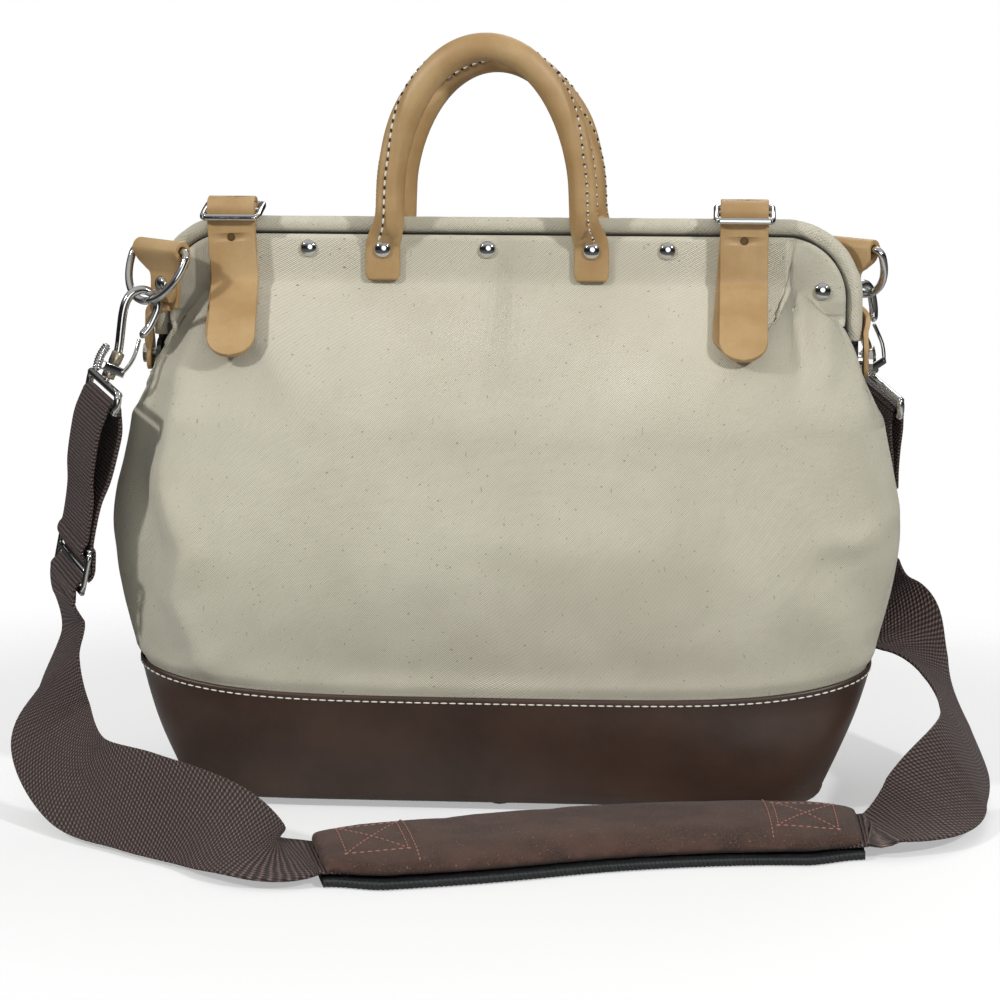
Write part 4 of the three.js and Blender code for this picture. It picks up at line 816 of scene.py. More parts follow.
# Folds and dents of the canvas: a line of (x, z), half width and height outwards, in metres.
canvasFolds = {
    "front": [
        ([(0.163, 0.276), (0.1555, 0.268), (0.1515, 0.254), (0.150, 0.238), (0.150, 0.218)], 0.0086, -0.0036),
        ([(0.171, 0.270), (0.1650, 0.258), (0.1630, 0.244), (0.163, 0.224)], 0.0070, 0.0036),
        ([(0.172, 0.250), (0.176, 0.232), (0.184, 0.206)], 0.0080, 0.0022),
        ([(0.146, 0.214), (0.156, 0.196), (0.170, 0.172)], 0.0120, -0.0020),
        ([(0.196, 0.150), (0.180, 0.140), (0.165, 0.142)], 0.0070, 0.0026),
        ([(0.176, 0.128), (0.188, 0.108), (0.190, 0.088)], 0.0130, -0.0042),
        ([(0.150, 0.118), (0.172, 0.098), (0.184, 0.076)], 0.0110, 0.0020),
        ([(-0.160, 0.262), (-0.166, 0.240), (-0.176, 0.216)], 0.0070, -0.0034),
        ([(-0.150, 0.250), (-0.158, 0.225), (-0.166, 0.190), (-0.170, 0.150)], 0.0110, 0.0030),
        ([(-0.178, 0.206), (-0.186, 0.172), (-0.176, 0.136), (-0.182, 0.110), (-0.168, 0.080)], 0.0105, -0.0052),
        ([(-0.164, 0.196), (-0.172, 0.166), (-0.158, 0.132), (-0.166, 0.108), (-0.152, 0.078)], 0.0100, 0.0036),
        ([(-0.118, 0.262), (-0.096, 0.226), (-0.080, 0.180)], 0.0200, 0.0018),
        ([(0.098, 0.262), (0.080, 0.226), (0.070, 0.180)], 0.0200, 0.0014),
        ([(-0.150, 0.086), (-0.060, 0.074), (0.060, 0.072), (0.150, 0.082)], 0.0120, -0.0012),
        ([(-0.02, 0.15), (0.06, 0.14)], 0.0450, 0.0016),
    ],
    "back": [
        ([(-0.150, 0.262), (-0.162, 0.240), (-0.172, 0.214)], 0.0070, 0.0034),
        ([(-0.136, 0.256), (-0.146, 0.228), (-0.152, 0.198)], 0.0085, -0.0032),
        ([(0.152, 0.260), (0.162, 0.238), (0.170, 0.210)], 0.0070, 0.0030),
        ([(0.138, 0.254), (0.148, 0.226), (0.152, 0.196)], 0.0085, -0.0030),
        ([(0.174, 0.180), (0.182, 0.140), (0.178, 0.100)], 0.0130, -0.0036),
        ([(-0.174, 0.176), (-0.184, 0.130), (-0.176, 0.092)], 0.0130, -0.0036),
        ([(-0.090, 0.150), (0.080, 0.130)], 0.0500, 0.0016),
        ([(-0.150, 0.084), (0.0, 0.072), (0.150, 0.084)], 0.0120, -0.0012),
    ],
    "quiet": [(-0.140, 0.230, 0.0165, 0.044), (0.122, 0.230, 0.0165, 0.044)],
}


# How far points are from a line, and how far along it their nearest point lies, from 0 to 1.
def lineDistance(x, z, line):
    nearest = np.full(x.shape, 1e9)
    share = np.zeros(x.shape)
    for k, ((x0, z0), (x1, z1)) in enumerate(zip(line, line[1:])):
        dx, dz = x1 - x0, z1 - z0
        t = np.clip(((x - x0) * dx + (z - z0) * dz) / (dx * dx + dz * dz), 0, 1)
        d = np.hypot(x - x0 - dx * t, z - z0 - dz * t)
        share = np.where(d < nearest, (k + t) / (len(line) - 1), share)
        nearest = np.minimum(nearest, d)
    return nearest, share


# The folds' height at points of a panel. The front stays quiet under the two closures.
def foldHeight(points, which):
    x, z = points[..., 0], points[..., 2]
    height = np.zeros(x.shape)
    for line, width, rise in canvasFolds[which]:
        d, share = lineDistance(x, z, line)
        fade = 0.35 + 0.65 * np.sin(np.pi * np.clip(share, 0.12, 0.88))
        height += rise * fade * np.exp(-((d / width) ** 2))
    for cx, cz, wx, wz in canvasFolds["quiet"]:
        if which == "front":
            height *= 1 - np.exp(-(((x - cx) / wx) ** 2 + ((z - cz - 0.02) / wz) ** 4))
    return height


canvasSizes = {
    "columnSteps": 7,
    "bodyRows": 52,
    "shoulderRows": 40,
    "hemShares": (0.25, 0.5, 0.75, 1.0),
    "thickness": 0.0011,
    "edge": {-1: 0.0075, 1: 0.0051},
    "tuck": 0.012,
    "behindVinyl": 0.0021,
    "bumps": ((0.0011, 22, 7), (0.0004, 75, 0)),
    "hemDrops": (0.004, 0.009, 0.014),
    "rollRises": ((0.0012, 0.0003), (0.0024, 0.0010), (0.0036, 0.0018)),
}


# The canvas from behind the vinyl up to the shoulder.
def bodyRows(angle):
    seam, tuck, count = bagShape["seam"], canvasSizes["tuck"], canvasSizes["bodyRows"]
    rows = []
    for k in range(count):
        z = seam - tuck + (bagShape["shoulder"] - seam + tuck) * (k / count)
        rise = seamRise(angle) * (1 - k / count)
        hidden = 1 - smoothStep((z + rise - seam - seamRise(angle) - 0.0005) / 0.005)
        rows.append(bodyPoint(z + rise, angle, canvasSizes["behindVinyl"] * hidden))
    return rows


# The gathered panel from the shoulder to the hem, and the hem up to its edge.
def shoulderRows(angle, hem, into, top):
    low = bodyPoint(bagShape["shoulder"], angle)
    rising = unit(low - bodyPoint(bagShape["shoulder"] - 0.006, angle))
    span = np.linalg.norm(hem - low, axis=1, keepdims=True)
    count = canvasSizes["shoulderRows"]
    rows = [hermite(low, rising * span * 0.9, hem, into * span * 0.7, k / count) for k in range(count + 1)]
    return rows + [hem * (1 - v) + top * v for v in canvasSizes["hemShares"]]


# Folds, dents and a soft unevenness, faded out at the seam, the hem and the side seams.
def folded(grid, side, angle, places):
    last = places[-1]
    normal = unit(np.cross(np.gradient(grid, axis=1), np.gradient(grid, axis=0)) * -side)
    height = foldHeight(grid, "front" if side < 0 else "back")
    for r, c in np.ndindex(height.shape):
        x, y, z = grid[r, c]
        for rise, scale, shift in canvasSizes["bumps"]:
            height[r, c] += rise * noise.noise(Vector((x * scale, y * scale + shift, z * scale)))
    index = np.arange(grid.shape[0])[:, None]
    full = canvasSizes["bodyRows"] + canvasSizes["shoulderRows"]
    fade = smoothStep((grid[..., 2] - bagShape["seam"] - seamRise(angle)) / 0.012) * smoothStep((full - index) / 9)
    fade = fade * smoothStep(np.minimum(places, last - places)[None, :] / 1.2)
    return grid + normal * (height * fade)[..., None]


# The hem turns over the jaw's strip in front, and onto the roll behind.
def hemRows(side, edge, out, places):
    reach = smoothStep((np.minimum(places, places[-1] - places) - 2.2) / 2.5)[:, None]
    if side > 0:
        return [
            edge + out * rise * reach + np.array((0, push, 0)) * reach
            for rise, push in canvasSizes["rollRises"]
        ]
    depth = 0.0051 * reach + 0.0022 * (1 - reach)
    rows = []
    for k in range(1, 9):
        t = k / 8 * math.pi
        rows.append(edge + np.array((0, 1, 0)) * depth / 2 * (1 - math.cos(t)) + out * math.sin(t) * 0.0030)
    return rows + [rows[7] - out * drop * (0.15 + 0.85 * reach) for drop in canvasSizes["hemDrops"]]


def canvasHalf(name, side):
    edgeRow, hemRow, intoRow = shoulderColumns(side, canvasSizes["edge"][side])
    last = len(edgeRow) - 1
    places = np.linspace(0, last, last * canvasSizes["columnSteps"] + 1)
    angle = math.pi * (1 - side * places / last)
    hem, into, top = between(hemRow, places), between(intoRow, places), between(edgeRow, places)
    grid = np.array(bodyRows(angle) + shoulderRows(angle, hem, into, top))
    grid[:, 0, 1] = grid[:, -1, 1] = 0
    grid = folded(grid, side, angle, places)
    grid = np.concatenate([grid, np.array(hemRows(side, grid[-1], unit(top - hem), places))])
    n, m = grid.shape[:2]
    across, up = distances(grid[30]), distances(grid[:, m // 2])
    faces, uvs = [], []
    for i in range(n - 1):
        for k in range(m - 1):
            corners = [(i, k), (i, k + 1), (i + 1, k + 1), (i + 1, k)]
            if side > 0:
                corners.reverse()
            faces.append(tuple(a * m + b for a, b in corners))
            uvs += [(across[b], up[a]) for a, b in corners]
    made = makeObject(name, grid.reshape(-1, 3), faces, canvas, uvs)
    modified(made, "SOLIDIFY", thickness=canvasSizes["thickness"], offset=-1)
    return made


def makeCanvas():
    for name, side, jaw, inner in (
        ("canvas_front", -1, "front_jaw", ("canvas_body", "shoulder_front")),
        ("canvas_back", 1, "back_jaw", ("shoulder_back",)),
    ):
        half = canvasHalf(name, side)
        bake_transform(half)
        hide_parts(*inner)


makeCanvas()
print("canvas made")

vinylSizes = {
    "thickness": 0.0013,
    "columns": 220,
    "foot": 0.004,
    "corner": 0.008,
    "wall": 0.0145,
    "edge": 0.0012,
    "squarer": 3.2,
    "bottomShares": (0.02, 0.3, 0.6, 0.8, 0.9),
    "edgeRows": ((0.0004, 0.0002), (0.0010, 0.0007), (0.0012, 0.0013)),
    "dent": 0.0009,
    "dentScale": (18, 18, 26),
    "stitchDrop": 0.0030,
    "stitch": (0.0044, 0.0036, 0.0008),
}


def makeVinyl():
    v = vinylSizes
    angle = np.arange(v["columns"]) / v["columns"] * 2 * math.pi
    low, top = bagShape["heights"][0], bagShape["seam"] - v["edge"]
    # from the middle of the bottom outwards, up the wall and over its top edge
    corner = [k / 6 * math.pi / 2 for k in range(7)]
    levels = [(share, 0) for share in v["bottomShares"]]
    levels += [(0.945 + 0.055 * math.sin(t), v["corner"] * (1 - math.cos(t))) for t in corner]
    rings = []
    for share, rise in levels:
        ring = bodyPoint(low, angle, 0.0, v["squarer"])
        ring[:, :2] *= share
        ring[:, 2] = v["foot"] + rise
        rings.append(ring)
    for z in np.linspace(v["wall"], top, 26):
        squarer = v["squarer"] * (1 - smoothStep((z - 0.014) / 0.044))
        height = z + seamRise(angle) * (z - v["wall"]) / (bagShape["seam"] - 0.0157)
        rings.append(bodyPoint(height, angle, 0.0, squarer))
    rings += [bodyPoint(top + rise + seamRise(angle), angle, inset) for rise, inset in v["edgeRows"]]
    grid = np.array(rings)
    for r in range(6, grid.shape[0]):
        fade = smoothStep((grid[r, 0, 2] - 0.006) / 0.015) * smoothStep((0.0615 - grid[r, 0, 2]) / 0.02)
        for c in range(grid.shape[1]):
            x, y, _ = grid[r, c]
            dent = v["dent"] * noise.noise(Vector(grid[r, c] * v["dentScale"])) * fade
            grid[r, c] += unit((x / 0.19 ** 2, y / 0.065 ** 2, 0)) * dent
    n, m = grid.shape[:2]
    faces = [tuple(range(m - 1, -1, -1))]
    for i in range(n - 1):
        for k in range(m):
            l = (k + 1) % m
            faces.append((i * m + k, i * m + l, (i + 1) * m + l, (i + 1) * m + k))
    cover = makeObject("vinyl_bottom", grid.reshape(-1, 3), faces, vinyl)
    modified(cover, "SOLIDIFY", thickness=v["thickness"], offset=-1)
    carried(cover, "bag", "vinyl", "bottom_cover")
    turn = np.linspace(0, 2 * math.pi, 700)
    loop = bodyPoint(bagShape["seam"] - v["stitchDrop"] + seamRise(turn), turn, -0.0002)
    seam = stitchLine("seam_stitches", loop, *v["stitch"], whiteThread)
    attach(seam, "bag")


makeVinyl()
print("vinyl bottom made")


rollSizes = {
    "count": 520,
    "legEnd": 0.236,
    "seamDepth": 0.10,
    "seamTurn": 0.35,
    "tight": 0.0002,
    "ripple": 0.00045,
    "ripples": 130,
    "straight": 0.25,
    "bendAbove": 0.252,
}


# The rolled rim: a tube with a shallow seam below and ripples, fewer where it runs straight.
def makeRoll():
    r, count = rollSizes, rollSizes["count"]
    rows = rimStations(r["legEnd"], 60, 14, 22)
    path = np.stack([rows[:, 0], np.full(len(rows), rim["rollY"]), rows[:, 1]], axis=1)
    gone = distances(path)
    even = spaced(path, np.linspace(0, gone[-1], count), gone)
    angle = np.arange(20) / 20 * 2 * math.pi
    seam = 1 - r["seamDepth"] * np.exp(-((angle - math.pi) / r["seamTurn"]) ** 2)
    sections = []
    for i, p in enumerate(even):
        bent = abs(p[0]) > rim["half"] - rim["corner"] and p[2] > r["bendAbove"]
        rippled = r["ripple"] * (1.0 if bent else r["straight"])
        place = gone[-1] * i / count * r["ripples"]
        heights = [noise.noise(Vector((place, math.cos(a) * 1.2, math.sin(a) * 1.2))) for a in angle]
        radius = (rim["rollRadius"] - r["tight"] + rippled * np.array(heights)) * seam
        sections.append(np.stack([np.cos(angle) * radius, np.sin(angle) * radius], axis=1))
    roll = sweep("rim_roll", even, uprightSides(even), np.array(sections), canvas)
    carried(roll, "back_jaw", "canvas", "back_roll")


makeRoll()

handleSizes = {
    "radius": 0.0076,
    "half": 0.0495,
    # along the leg: x, the share of the way out from the tab to the tube, and the height
    "leg": [
        (-0.0535, 0, 0.266), (-0.0535, 0, 0.272), (-0.0535, 0, 0.279), (-0.0531, 0, 0.2855),
        (-0.0515, 1 / 3, 0.2905), (-0.0499, 1, 0.2975),
    ],
    "tabWidth": 0.0178,
    "tabY": 0.0069,
    "leather": 0.0026,
    "tabBottom": 0.266,
    "fold": (0.286, 0.300),
    "thread": 0.289,
    "turn": 0.3052,
    "seamTurn": 34.0,
    "seamBack": 96.0,
    "lip": (0.0054, 0.0039),
    "stitch": (0.0048, 0.0032, 0.0011),
    "stitchHole": (0.0048, 0.0022, 0.0012),
}


# One handle: flat tab, neck, rolled tube with its sewn lip, and down to the other tab.
def makeHandle(name, side, centreX, tubeY, top):
    h = handleSizes
    tabY = h["tabY"]
    leg = [(x, tabY + (tubeY - tabY) * share, z) for x, share, z in h["leg"]]
    turns = [math.pi - i / 20 * math.pi for i in range(1, 20)]
    arch = [(h["half"] * math.cos(t), tubeY, h["turn"] + (top - h["turn"]) * math.sin(t)) for t in turns]
    path = smoothRows([*leg, *arch, *[(-x, y, z) for x, y, z in reversed(leg)]], 220)
    path[:, 1] *= side
    path[:, 0] += centreX
    sides = uprightSides(path)
    t = np.arange(32) / 32 * 2 * math.pi
    c, s = np.cos(t), np.sin(t)
    pinch = 1 - 0.36 * smoothStep((c - 0.25) / 0.6)
    groove = 1 - 0.07 * np.exp(-((np.abs(t - math.pi) - (math.pi - 1.1)) / 0.14) ** 2)
    tube = np.stack([h["radius"] * c * groove, h["radius"] * 0.97 * s * pinch * groove], axis=1)
    flat = np.stack([
        h["tabWidth"] / 2 * np.sign(c) * np.abs(c) ** 0.28,
        h["leather"] / 2 * np.sign(s) * np.abs(s) ** 0.45,
    ], axis=1)
    sections, twists = [], []
    for x, y, z in path:
        rolled = smoothStep((z - 0.2795) / 0.0245)
        twist = side * math.radians(h["seamTurn"] - h["seamBack"] * smoothStep((z - 0.325) / (top - 0.325)))
        twists.append(twist)
        a = twist * rolled
        turned = tube @ np.array(((math.cos(a), math.sin(a)), (-math.sin(a), math.cos(a))))
        corner = 1 - 0.16 * (1 - smoothStep((z - h["tabBottom"]) / 0.003))
        sections.append(turned * rolled + flat * np.array((corner, 1)) * (1 - rolled))
    grip = sweep("grip_" + name, path, sides, np.array(sections), leather)
    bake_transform(grip)
    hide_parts("handle_" + name)
    # a row of thread on both faces of the lip, and dark beads of painted shade in the needle holes between its
    # stitches
    over = np.cross(unit(sides), tangents(path))
    for face, sign in (("front", -1), ("back", 1)):
        x, y = h["lip"][0], sign * side * -h["lip"][1]
        line = [
            p + sides[i] * (x * math.cos(a) - y * math.sin(a)) + over[i] * (x * math.sin(a) + y * math.cos(a))
            for i, (p, a) in enumerate(zip(path, twists)) if p[2] >= h["thread"]
        ]
        row = stitchLine(f"grip_stitches_{name}_{face}", line, *h["stitch"], whiteThread)
        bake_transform(row)
        gone = distances(line)
        shifted = spaced(line, np.linspace(h["stitch"][0] / 2, gone[-1], len(line)), gone)
        holes = stitchLine(f"grip_holes_{name}_{face}", shifted, *h["stitchHole"], holeShade)
        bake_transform(holes)


makeHandle("front", -1, -0.009, 0.0102, 0.3854)
makeHandle("back", 1, -0.005, 0.0146, 0.3784)
print("handles made")

closureSizes = {
    "width": 0.0243,
    "leather": 0.0026,
    "edge": 0.0006,
    "bar": (-0.005, 0.301),
    "chape": {
        "gap": 0.0016,
        "lowest": 0.234,
        "lean": {"left": 0.0012, "right": -0.0045},
        "rise": [(-0.0074, 0.292), (-0.008, 0.298)],
        "loop": 0.0031,
        "turns": (165, 130, 95, 60, 25, -10, -45, -80),
        "end": (-0.0054, 0.2935),
        "slot": ((-0.0058, 0.3045), (-0.3, 1), 0.0024),
        "rivet": (-0.0331, 0.236),
        "grip": 0.0064,
    },
    "buckle": {"half": 0.0143, "near": (-0.015, 0.2985), "far": (0.0075, 0.303), "corner": 0.0026, "bar": 0.0014},
    "prong": {
        "loop": 0.0029,
        "tongue": [(-0.0050, 0.3041), (-0.0024, 0.3043), (0.0012, 0.3051), (0.0050, 0.3058), (0.0098, 0.3056)],
        "section": (0.0024, 0.0018, 0.0007),
    },
    "over": [
        (0.0069, 0.270), (0.0069, 0.2867), (0.0085, 0.2905), (0.0089, 0.294), (0.0087, 0.2974), (0.0069, 0.2996),
        (0.0046, 0.3005), (0.0024, 0.3028), (-0.0005, 0.306), (-0.005, 0.3073), (-0.0094, 0.3065),
    ],
    "bend": [(-0.0094, 0.3065), (-0.0108, 0.3054), (-0.0117, 0.3025), (-0.0111, 0.299), (-0.011, 0.2945)],
    "tail": {"gap": 0.0048, "lowest": 0.232, "away": 0.055, "lean": {"left": 0.0042, "right": 0.0}},
    # holes: point, direction and radius
    "overHoles": [((0.0005, 0.3054), (0.75, 1), 0.0022), ((-0.0060, 0.3073), (-0.1, 1), 0.0022)],
    "tailHole": ((-0.0109, 0.288), (1, 0), 0.0022),
    "backRivet": {"y": 0.0083, "z": 0.282, "grip": 0.0069},
}
frontLine = [
    (-0.0053, 0.2852), (-0.0053, 0.267), (-0.0097, 0.260), (-0.013, 0.256),
    (-0.0165, 0.252), (-0.0249, 0.244), (-0.0331, 0.236), (-0.045, 0.2238),
]


# The front panel's line, moved outwards and cut off at its lowest height.
def alongFront(away, lowest):
    line = np.array(frontLine)
    slope = unit(np.gradient(line, axis=0))
    moved = line + np.stack([slope[:, 1], -slope[:, 0]], axis=1) * away
    kept = [tuple(p) for p in moved if p[1] > lowest]
    if len(kept) < len(moved):
        (y0, z0), (y1, z1) = kept[-1], moved[len(kept)]
        kept.append((y0 + (y1 - y0) * (z0 - lowest) / (z0 - z1), lowest))
    return kept


# A strap in the YZ plane at x, its end rounded where asked, with rounded edges.
def makeStrap(name, line, x, roundFirst=False, roundLast=False, lean=0.0):
    count = 120
    rows = smoothRows([(x + lean * max(0.292 - z, 0) / 0.064, y, z) for y, z in line], count)
    gone = distances(rows)
    full, half = closureSizes["width"], closureSizes["width"] / 2
    if roundLast or roundFirst:
        fine = gone[-1] - half * (1 - np.sin(np.linspace(0.02, math.pi / 2, 26)))
        wanted = np.concatenate([np.linspace(0, gone[-1] - half, count), fine])
        if roundFirst:
            wanted = gone[-1] - wanted[::-1]
        rows, gone = spaced(rows, wanted, gone), wanted
    sections = []
    for g in gone:
        left = gone[-1] - g if roundLast else g if roundFirst else half
        width = 2 * math.sqrt(max(half ** 2 - (half - left) ** 2, 0.0009 ** 2)) if left < half else full
        sections.append(roundRect(width, closureSizes["leather"], min(closureSizes["edge"], width / 3)))
    return sweep(name, rows, (1, 0, 0), np.array(sections), leather)


# Cuts a round hole through a strap at x, at a point and in a direction in the YZ plane.
def punch(obj, x, point, way, radius):
    path = [np.array((x, *point)) + unit((0, *way)) * s for s in (-0.006, -0.002, 0.002, 0.006)]
    tool = sweep("punch", path, (1, 0, 0), circle(radius, 20), rawEdge)
    modified(obj, "BOOLEAN", operation="DIFFERENCE", solver="EXACT", object=tool)
    bpy.data.objects.remove(tool)


# A closed wire through points, round in section.
def makeRing(name, points, normal, radius, count):
    return sweep(name, smoothRows(points, count, joined=True), normal, circle(radius), nickel, joined=True)


# A closed outline with its corners rounded.
def roundCorners(points, radius):
    points, steps = np.asarray(points, float), 5
    out = []
    for i, p in enumerate(points):
        a, b = points[i - 1], points[(i + 1) % len(points)]
        one, other = p + unit(a - p) * radius, p + unit(b - p) * radius
        for t in (k / steps for k in range(steps + 1)):
            out.append(one * (1 - t) ** 2 + 2 * p * t * (1 - t) + other * t ** 2)
    return np.array(out)


# The short strap that holds the buckle: up the front panel and round the buckle's bar.
def makeChape(name, x):
    c = closureSizes["chape"]
    lean = c["lean"][name]
    loop = arc(*closureSizes["bar"], c["loop"], c["turns"])
    line = [*alongFront(c["gap"], c["lowest"])[::-1], *c["rise"], *loop, c["end"]]
    chape = makeStrap("chape_strap_" + name, line, x, roundFirst=True, lean=lean)
    punch(chape, x, *c["slot"])
    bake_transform(chape)
    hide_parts("chape_" + name)
    up = unit((0, -1, 1))
    seat = np.array((x + lean * 0.85, *c["rivet"])) + up * (c["gap"] + closureSizes["leather"] / 2 + 0.0002)
    pin = rivetSet("chape_pin_" + name, [seat], [up], c["grip"])
    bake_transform(pin)
    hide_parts("chape_rivet_" + name)


def makeBuckle(name, x):
    b = closureSizes["buckle"]
    left, right, middle = x - b["half"], x + b["half"], closureSizes["bar"]
    near, far = b["near"], b["far"]
    ends = [(left, *near), (right, *near), (right, *middle), (right, *far), (left, *far), (left, *middle)]
    outline = smoothRows(roundCorners(ends, b["corner"]), 150, joined=True)
    oval = roundRect(0.0034, 0.0028, 0.0012)
    frameLoop = sweep("buckle_frame_" + name, outline, (0, 0.16, 1), oval, nickel, joined=True)
    bar = sweep("bar", [(left, *middle), (x, *middle), (right, *middle)], (0, 0, 1), circle(b["bar"]), nickel)
    joinInto(frameLoop, bar)
    carried(frameLoop, "buckle_" + name, "nickel", "buckle_" + name)


def makeProng(name, x):
    p = closureSizes["prong"]
    section = roundRect(*p["section"])
    loop = [(x, y, z) for y, z in arc(*closureSizes["bar"], p["loop"], range(60, 380, 20))]
    curl = sweep("prong_wire_" + name, loop, (1, 0, 0), section, nickel)
    tongue = smoothRows([(x, y, z) for y, z in p["tongue"]], 30)
    joinInto(curl, sweep("tip", tongue, (1, 0, 0), section, nickel))
    carried(curl, "prong_" + name, "nickel", "prong_" + name)


# The long strap: from the back over the rim, through the buckle, and its hanging tail.
def makeBillet(name, x):
    t, rivet = closureSizes["tail"], closureSizes["backRivet"]
    top = makeStrap("strap_over_" + name, closureSizes["over"], x)
    for hole in closureSizes["overHoles"]:
        punch(top, x, *hole)
    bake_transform(top)
    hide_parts("billet_top_" + name)
    hanging = [(y - t["away"] * (0.298 - z), z) for y, z in alongFront(t["gap"], t["lowest"])]
    line = [*closureSizes["bend"], *hanging]
    tail = makeStrap("strap_tail_" + name, line, x, roundLast=True, lean=t["lean"][name])
    punch(tail, x, *closureSizes["tailHole"])
    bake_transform(tail)
    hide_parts("billet_tail_" + name)
    back = rivetSet("strap_pin_" + name, [(x, rivet["y"], rivet["z"])], [(0, 1, 0)], rivet["grip"])
    carried(back, "back_jaw", None, "billet_rivet_" + name)


for name, x in (("left", -0.140), ("right", 0.122)):
    makeChape(name, x)
    makeBuckle(name, x)
    makeProng(name, x)
    makeBillet(name, x)
print("closures made")

# Rows of rivets: jaw, outward way in Y, distance out, grip, and for each rivet its solid, x and z.
rivetRows = {
    "rail_rivets_front": ("front_jaw", -1, 0.0055, 0.0045, {
        "rail_rivet_front_left": (-0.101, 0.282),
        "rail_rivet_front_middle": (-0.009, 0.282),
        "rail_rivet_front_right": (0.083, 0.282),
        "corner_rivet_front": (0.162, 0.262),
    }),
    "tab_rivets_front": ("front_jaw", -1, 0.0083, 0.0074, {
        "handle_rivet_front_left": (-0.0625, 0.282),
        "handle_rivet_front_right": (0.0445, 0.282),
    }),
    "rail_rivets_back": ("back_jaw", 1, 0.0055, 0.0045, {
        "rail_rivet_back_left": (-0.101, 0.282),
        "rail_rivet_back_middle": (-0.009, 0.282),
        "rail_rivet_back_right": (0.083, 0.282),
    }),
    "tab_rivets_back": ("back_jaw", 1, 0.0083, 0.0074, {
        "handle_rivet_back_left": (-0.0585, 0.282),
        "handle_rivet_back_right": (0.0485, 0.282),
    }),
}
for name, (jaw, way, out, grip, spots) in rivetRows.items():
    points = [(x, way * out, z) for x, z in spots.values()]
    made = rivetSet(name, points, [(0, way, 0)] * len(points), grip)
    carried(made, jaw, None, *spots)

# Ring tabs, rings, hooks and eyes, for the left front corner and the right back corner
corners = {
    "left": {
        "end": -1,
        "jaw": "front_jaw",
        "middle": (-0.18417, -0.02659, 0.25388),
        "p": (0.821, 0.366, -0.438),
        "q": (0.400, 0.178, 0.899),
        "b": (0.407, -0.914, 0.0),
        "eyeTop": (-0.20241, -0.03471, 0.21522),
        "eyeBar": (-0.20421, -0.03484, 0.20641),
        "across": (0.428, -0.900, -0.075),
        "down": (-0.200, -0.014, -0.980),
    },
    "right": {
        "end": 1,
        "jaw": "back_jaw",
        "middle": (0.18354, 0.02676, 0.25340),
        "p": (0.618, 0.736, 0.276),
        "q": (-0.177, -0.211, 0.961),
        "b": (0.766, -0.643, 0.0),
        "eyeTop": (0.19063, 0.03520, 0.21131),
        "eyeBar": (0.19069, 0.03827, 0.20285),
        "across": (0.474, -0.829, -0.298),
        "down": (0.006, 0.341, -0.940),
    },
}
tabSizes = {
    "yaw": 40.0,
    "origin": (0.172, 0.013, 0.264),
    "leather": 0.0026,
    "edge": 0.0006,
    "rise": 0.018,
    "fold": 0.0039,
    "grip": 0.0094,
    # along the tab: layers outwards, height and half width, below and above the fold
    "under": [
        (0.5, -0.012, 0.0075), (0.5, -0.003, 0.0090), (0.5, 0.004, 0.0094), (0.5, 0.009, 0.0145),
        (0.5, 0.0125, 0.0170), (0.5, 0.018, 0.0170),
    ],
    "outer": [
        (2.3, 0.0125, 0.0168), (1.75, 0.0085, 0.0130), (1.5385, 0.005, 0.0094), (1.5385, -0.004, 0.0090),
        (1.5385, -0.009, 0.0066),
    ],
    # down the strip: x, y, height, direction across in x and y, half width
    "strip": [
        (0.1837, 0.009, 0.248, 0.3, -0.95, 0.0064), (0.1847, 0.004, 0.238, 0, -1, 0.007),
        (0.1847, 0, 0.230, 0, -1, 0.007), (0.1847, 0, 0.221, 0, -1, 0.0068), (0.1847, 0, 0.218, 0, -1, 0.0040),
    ],
}
ringSizes = {"half": 0.021, "depth": 0.028, "corner": 0.0035, "wire": 0.002, "tilt": 25.0}
hookSizes = {
    "rod": 0.0023,
    "tip": (0.0022, 0.0020, 0.0017, 0.0012, 0.0005),
    "shank": [(-0.001, -0.028), (-0.0024, -0.0225), (-0.0049, -0.0150), (-0.0073, -0.0075), (-0.0084, -0.0015)],
    "bend": 0.0084,
    "nose": [(0.0082, -0.008), (0.0064, -0.0140), (0.0060, -0.0148)],
    "low": -0.038,
    "sleeve": [
        (0.0120, 0.0024), (0.0118, 0.0030), (0.0112, 0.0033), (0.0065, 0.0033), (0.0058, 0.0030), (0.0020, 0.0030),
        (0.0014, 0.0034), (-0.0018, 0.0034), (-0.0024, 0.0030), (-0.0025, 0.0020),
    ],
    "gateWire": 0.0010,
    "gateLine": [
        (0.0030, -0.035, 0.0047), (0.0046, -0.033, 0.0047), (0.0062, -0.027, 0.0036), (0.0064, -0.021, 0.0018),
        (0.0059, -0.0159, 0.0005),
    ],
    "plate": [
        (-0.0092, 0.0020), (-0.0086, 0.0036), (-0.0070, 0.0046), (-0.004, 0.0048), (0.0, 0.0048), (0.0035, 0.0047),
        (0.0050, 0.0047),
    ],
    "thumb": 0.0044,
    "ridge": 0.00045,
}
eyeSizes = {"half": 0.028, "corner": 0.0034, "wire": 0.002, "stud": 0.0015}


# The directions of a corner's ring tab: outwards, across, and a point from its three distances.
def tabFrame(end):
    yaw = math.radians(tabSizes["yaw"])
    n = np.array((end * math.sin(yaw), end * math.cos(yaw), 0))
    w = np.array((math.cos(yaw), -math.sin(yaw), 0))
    x0, y0, z0 = tabSizes["origin"]
    origin = np.array((end * x0, end * y0, z0))
    return n, w, lambda across, out, up: origin + w * across + n * out + np.array((0, 0, up))


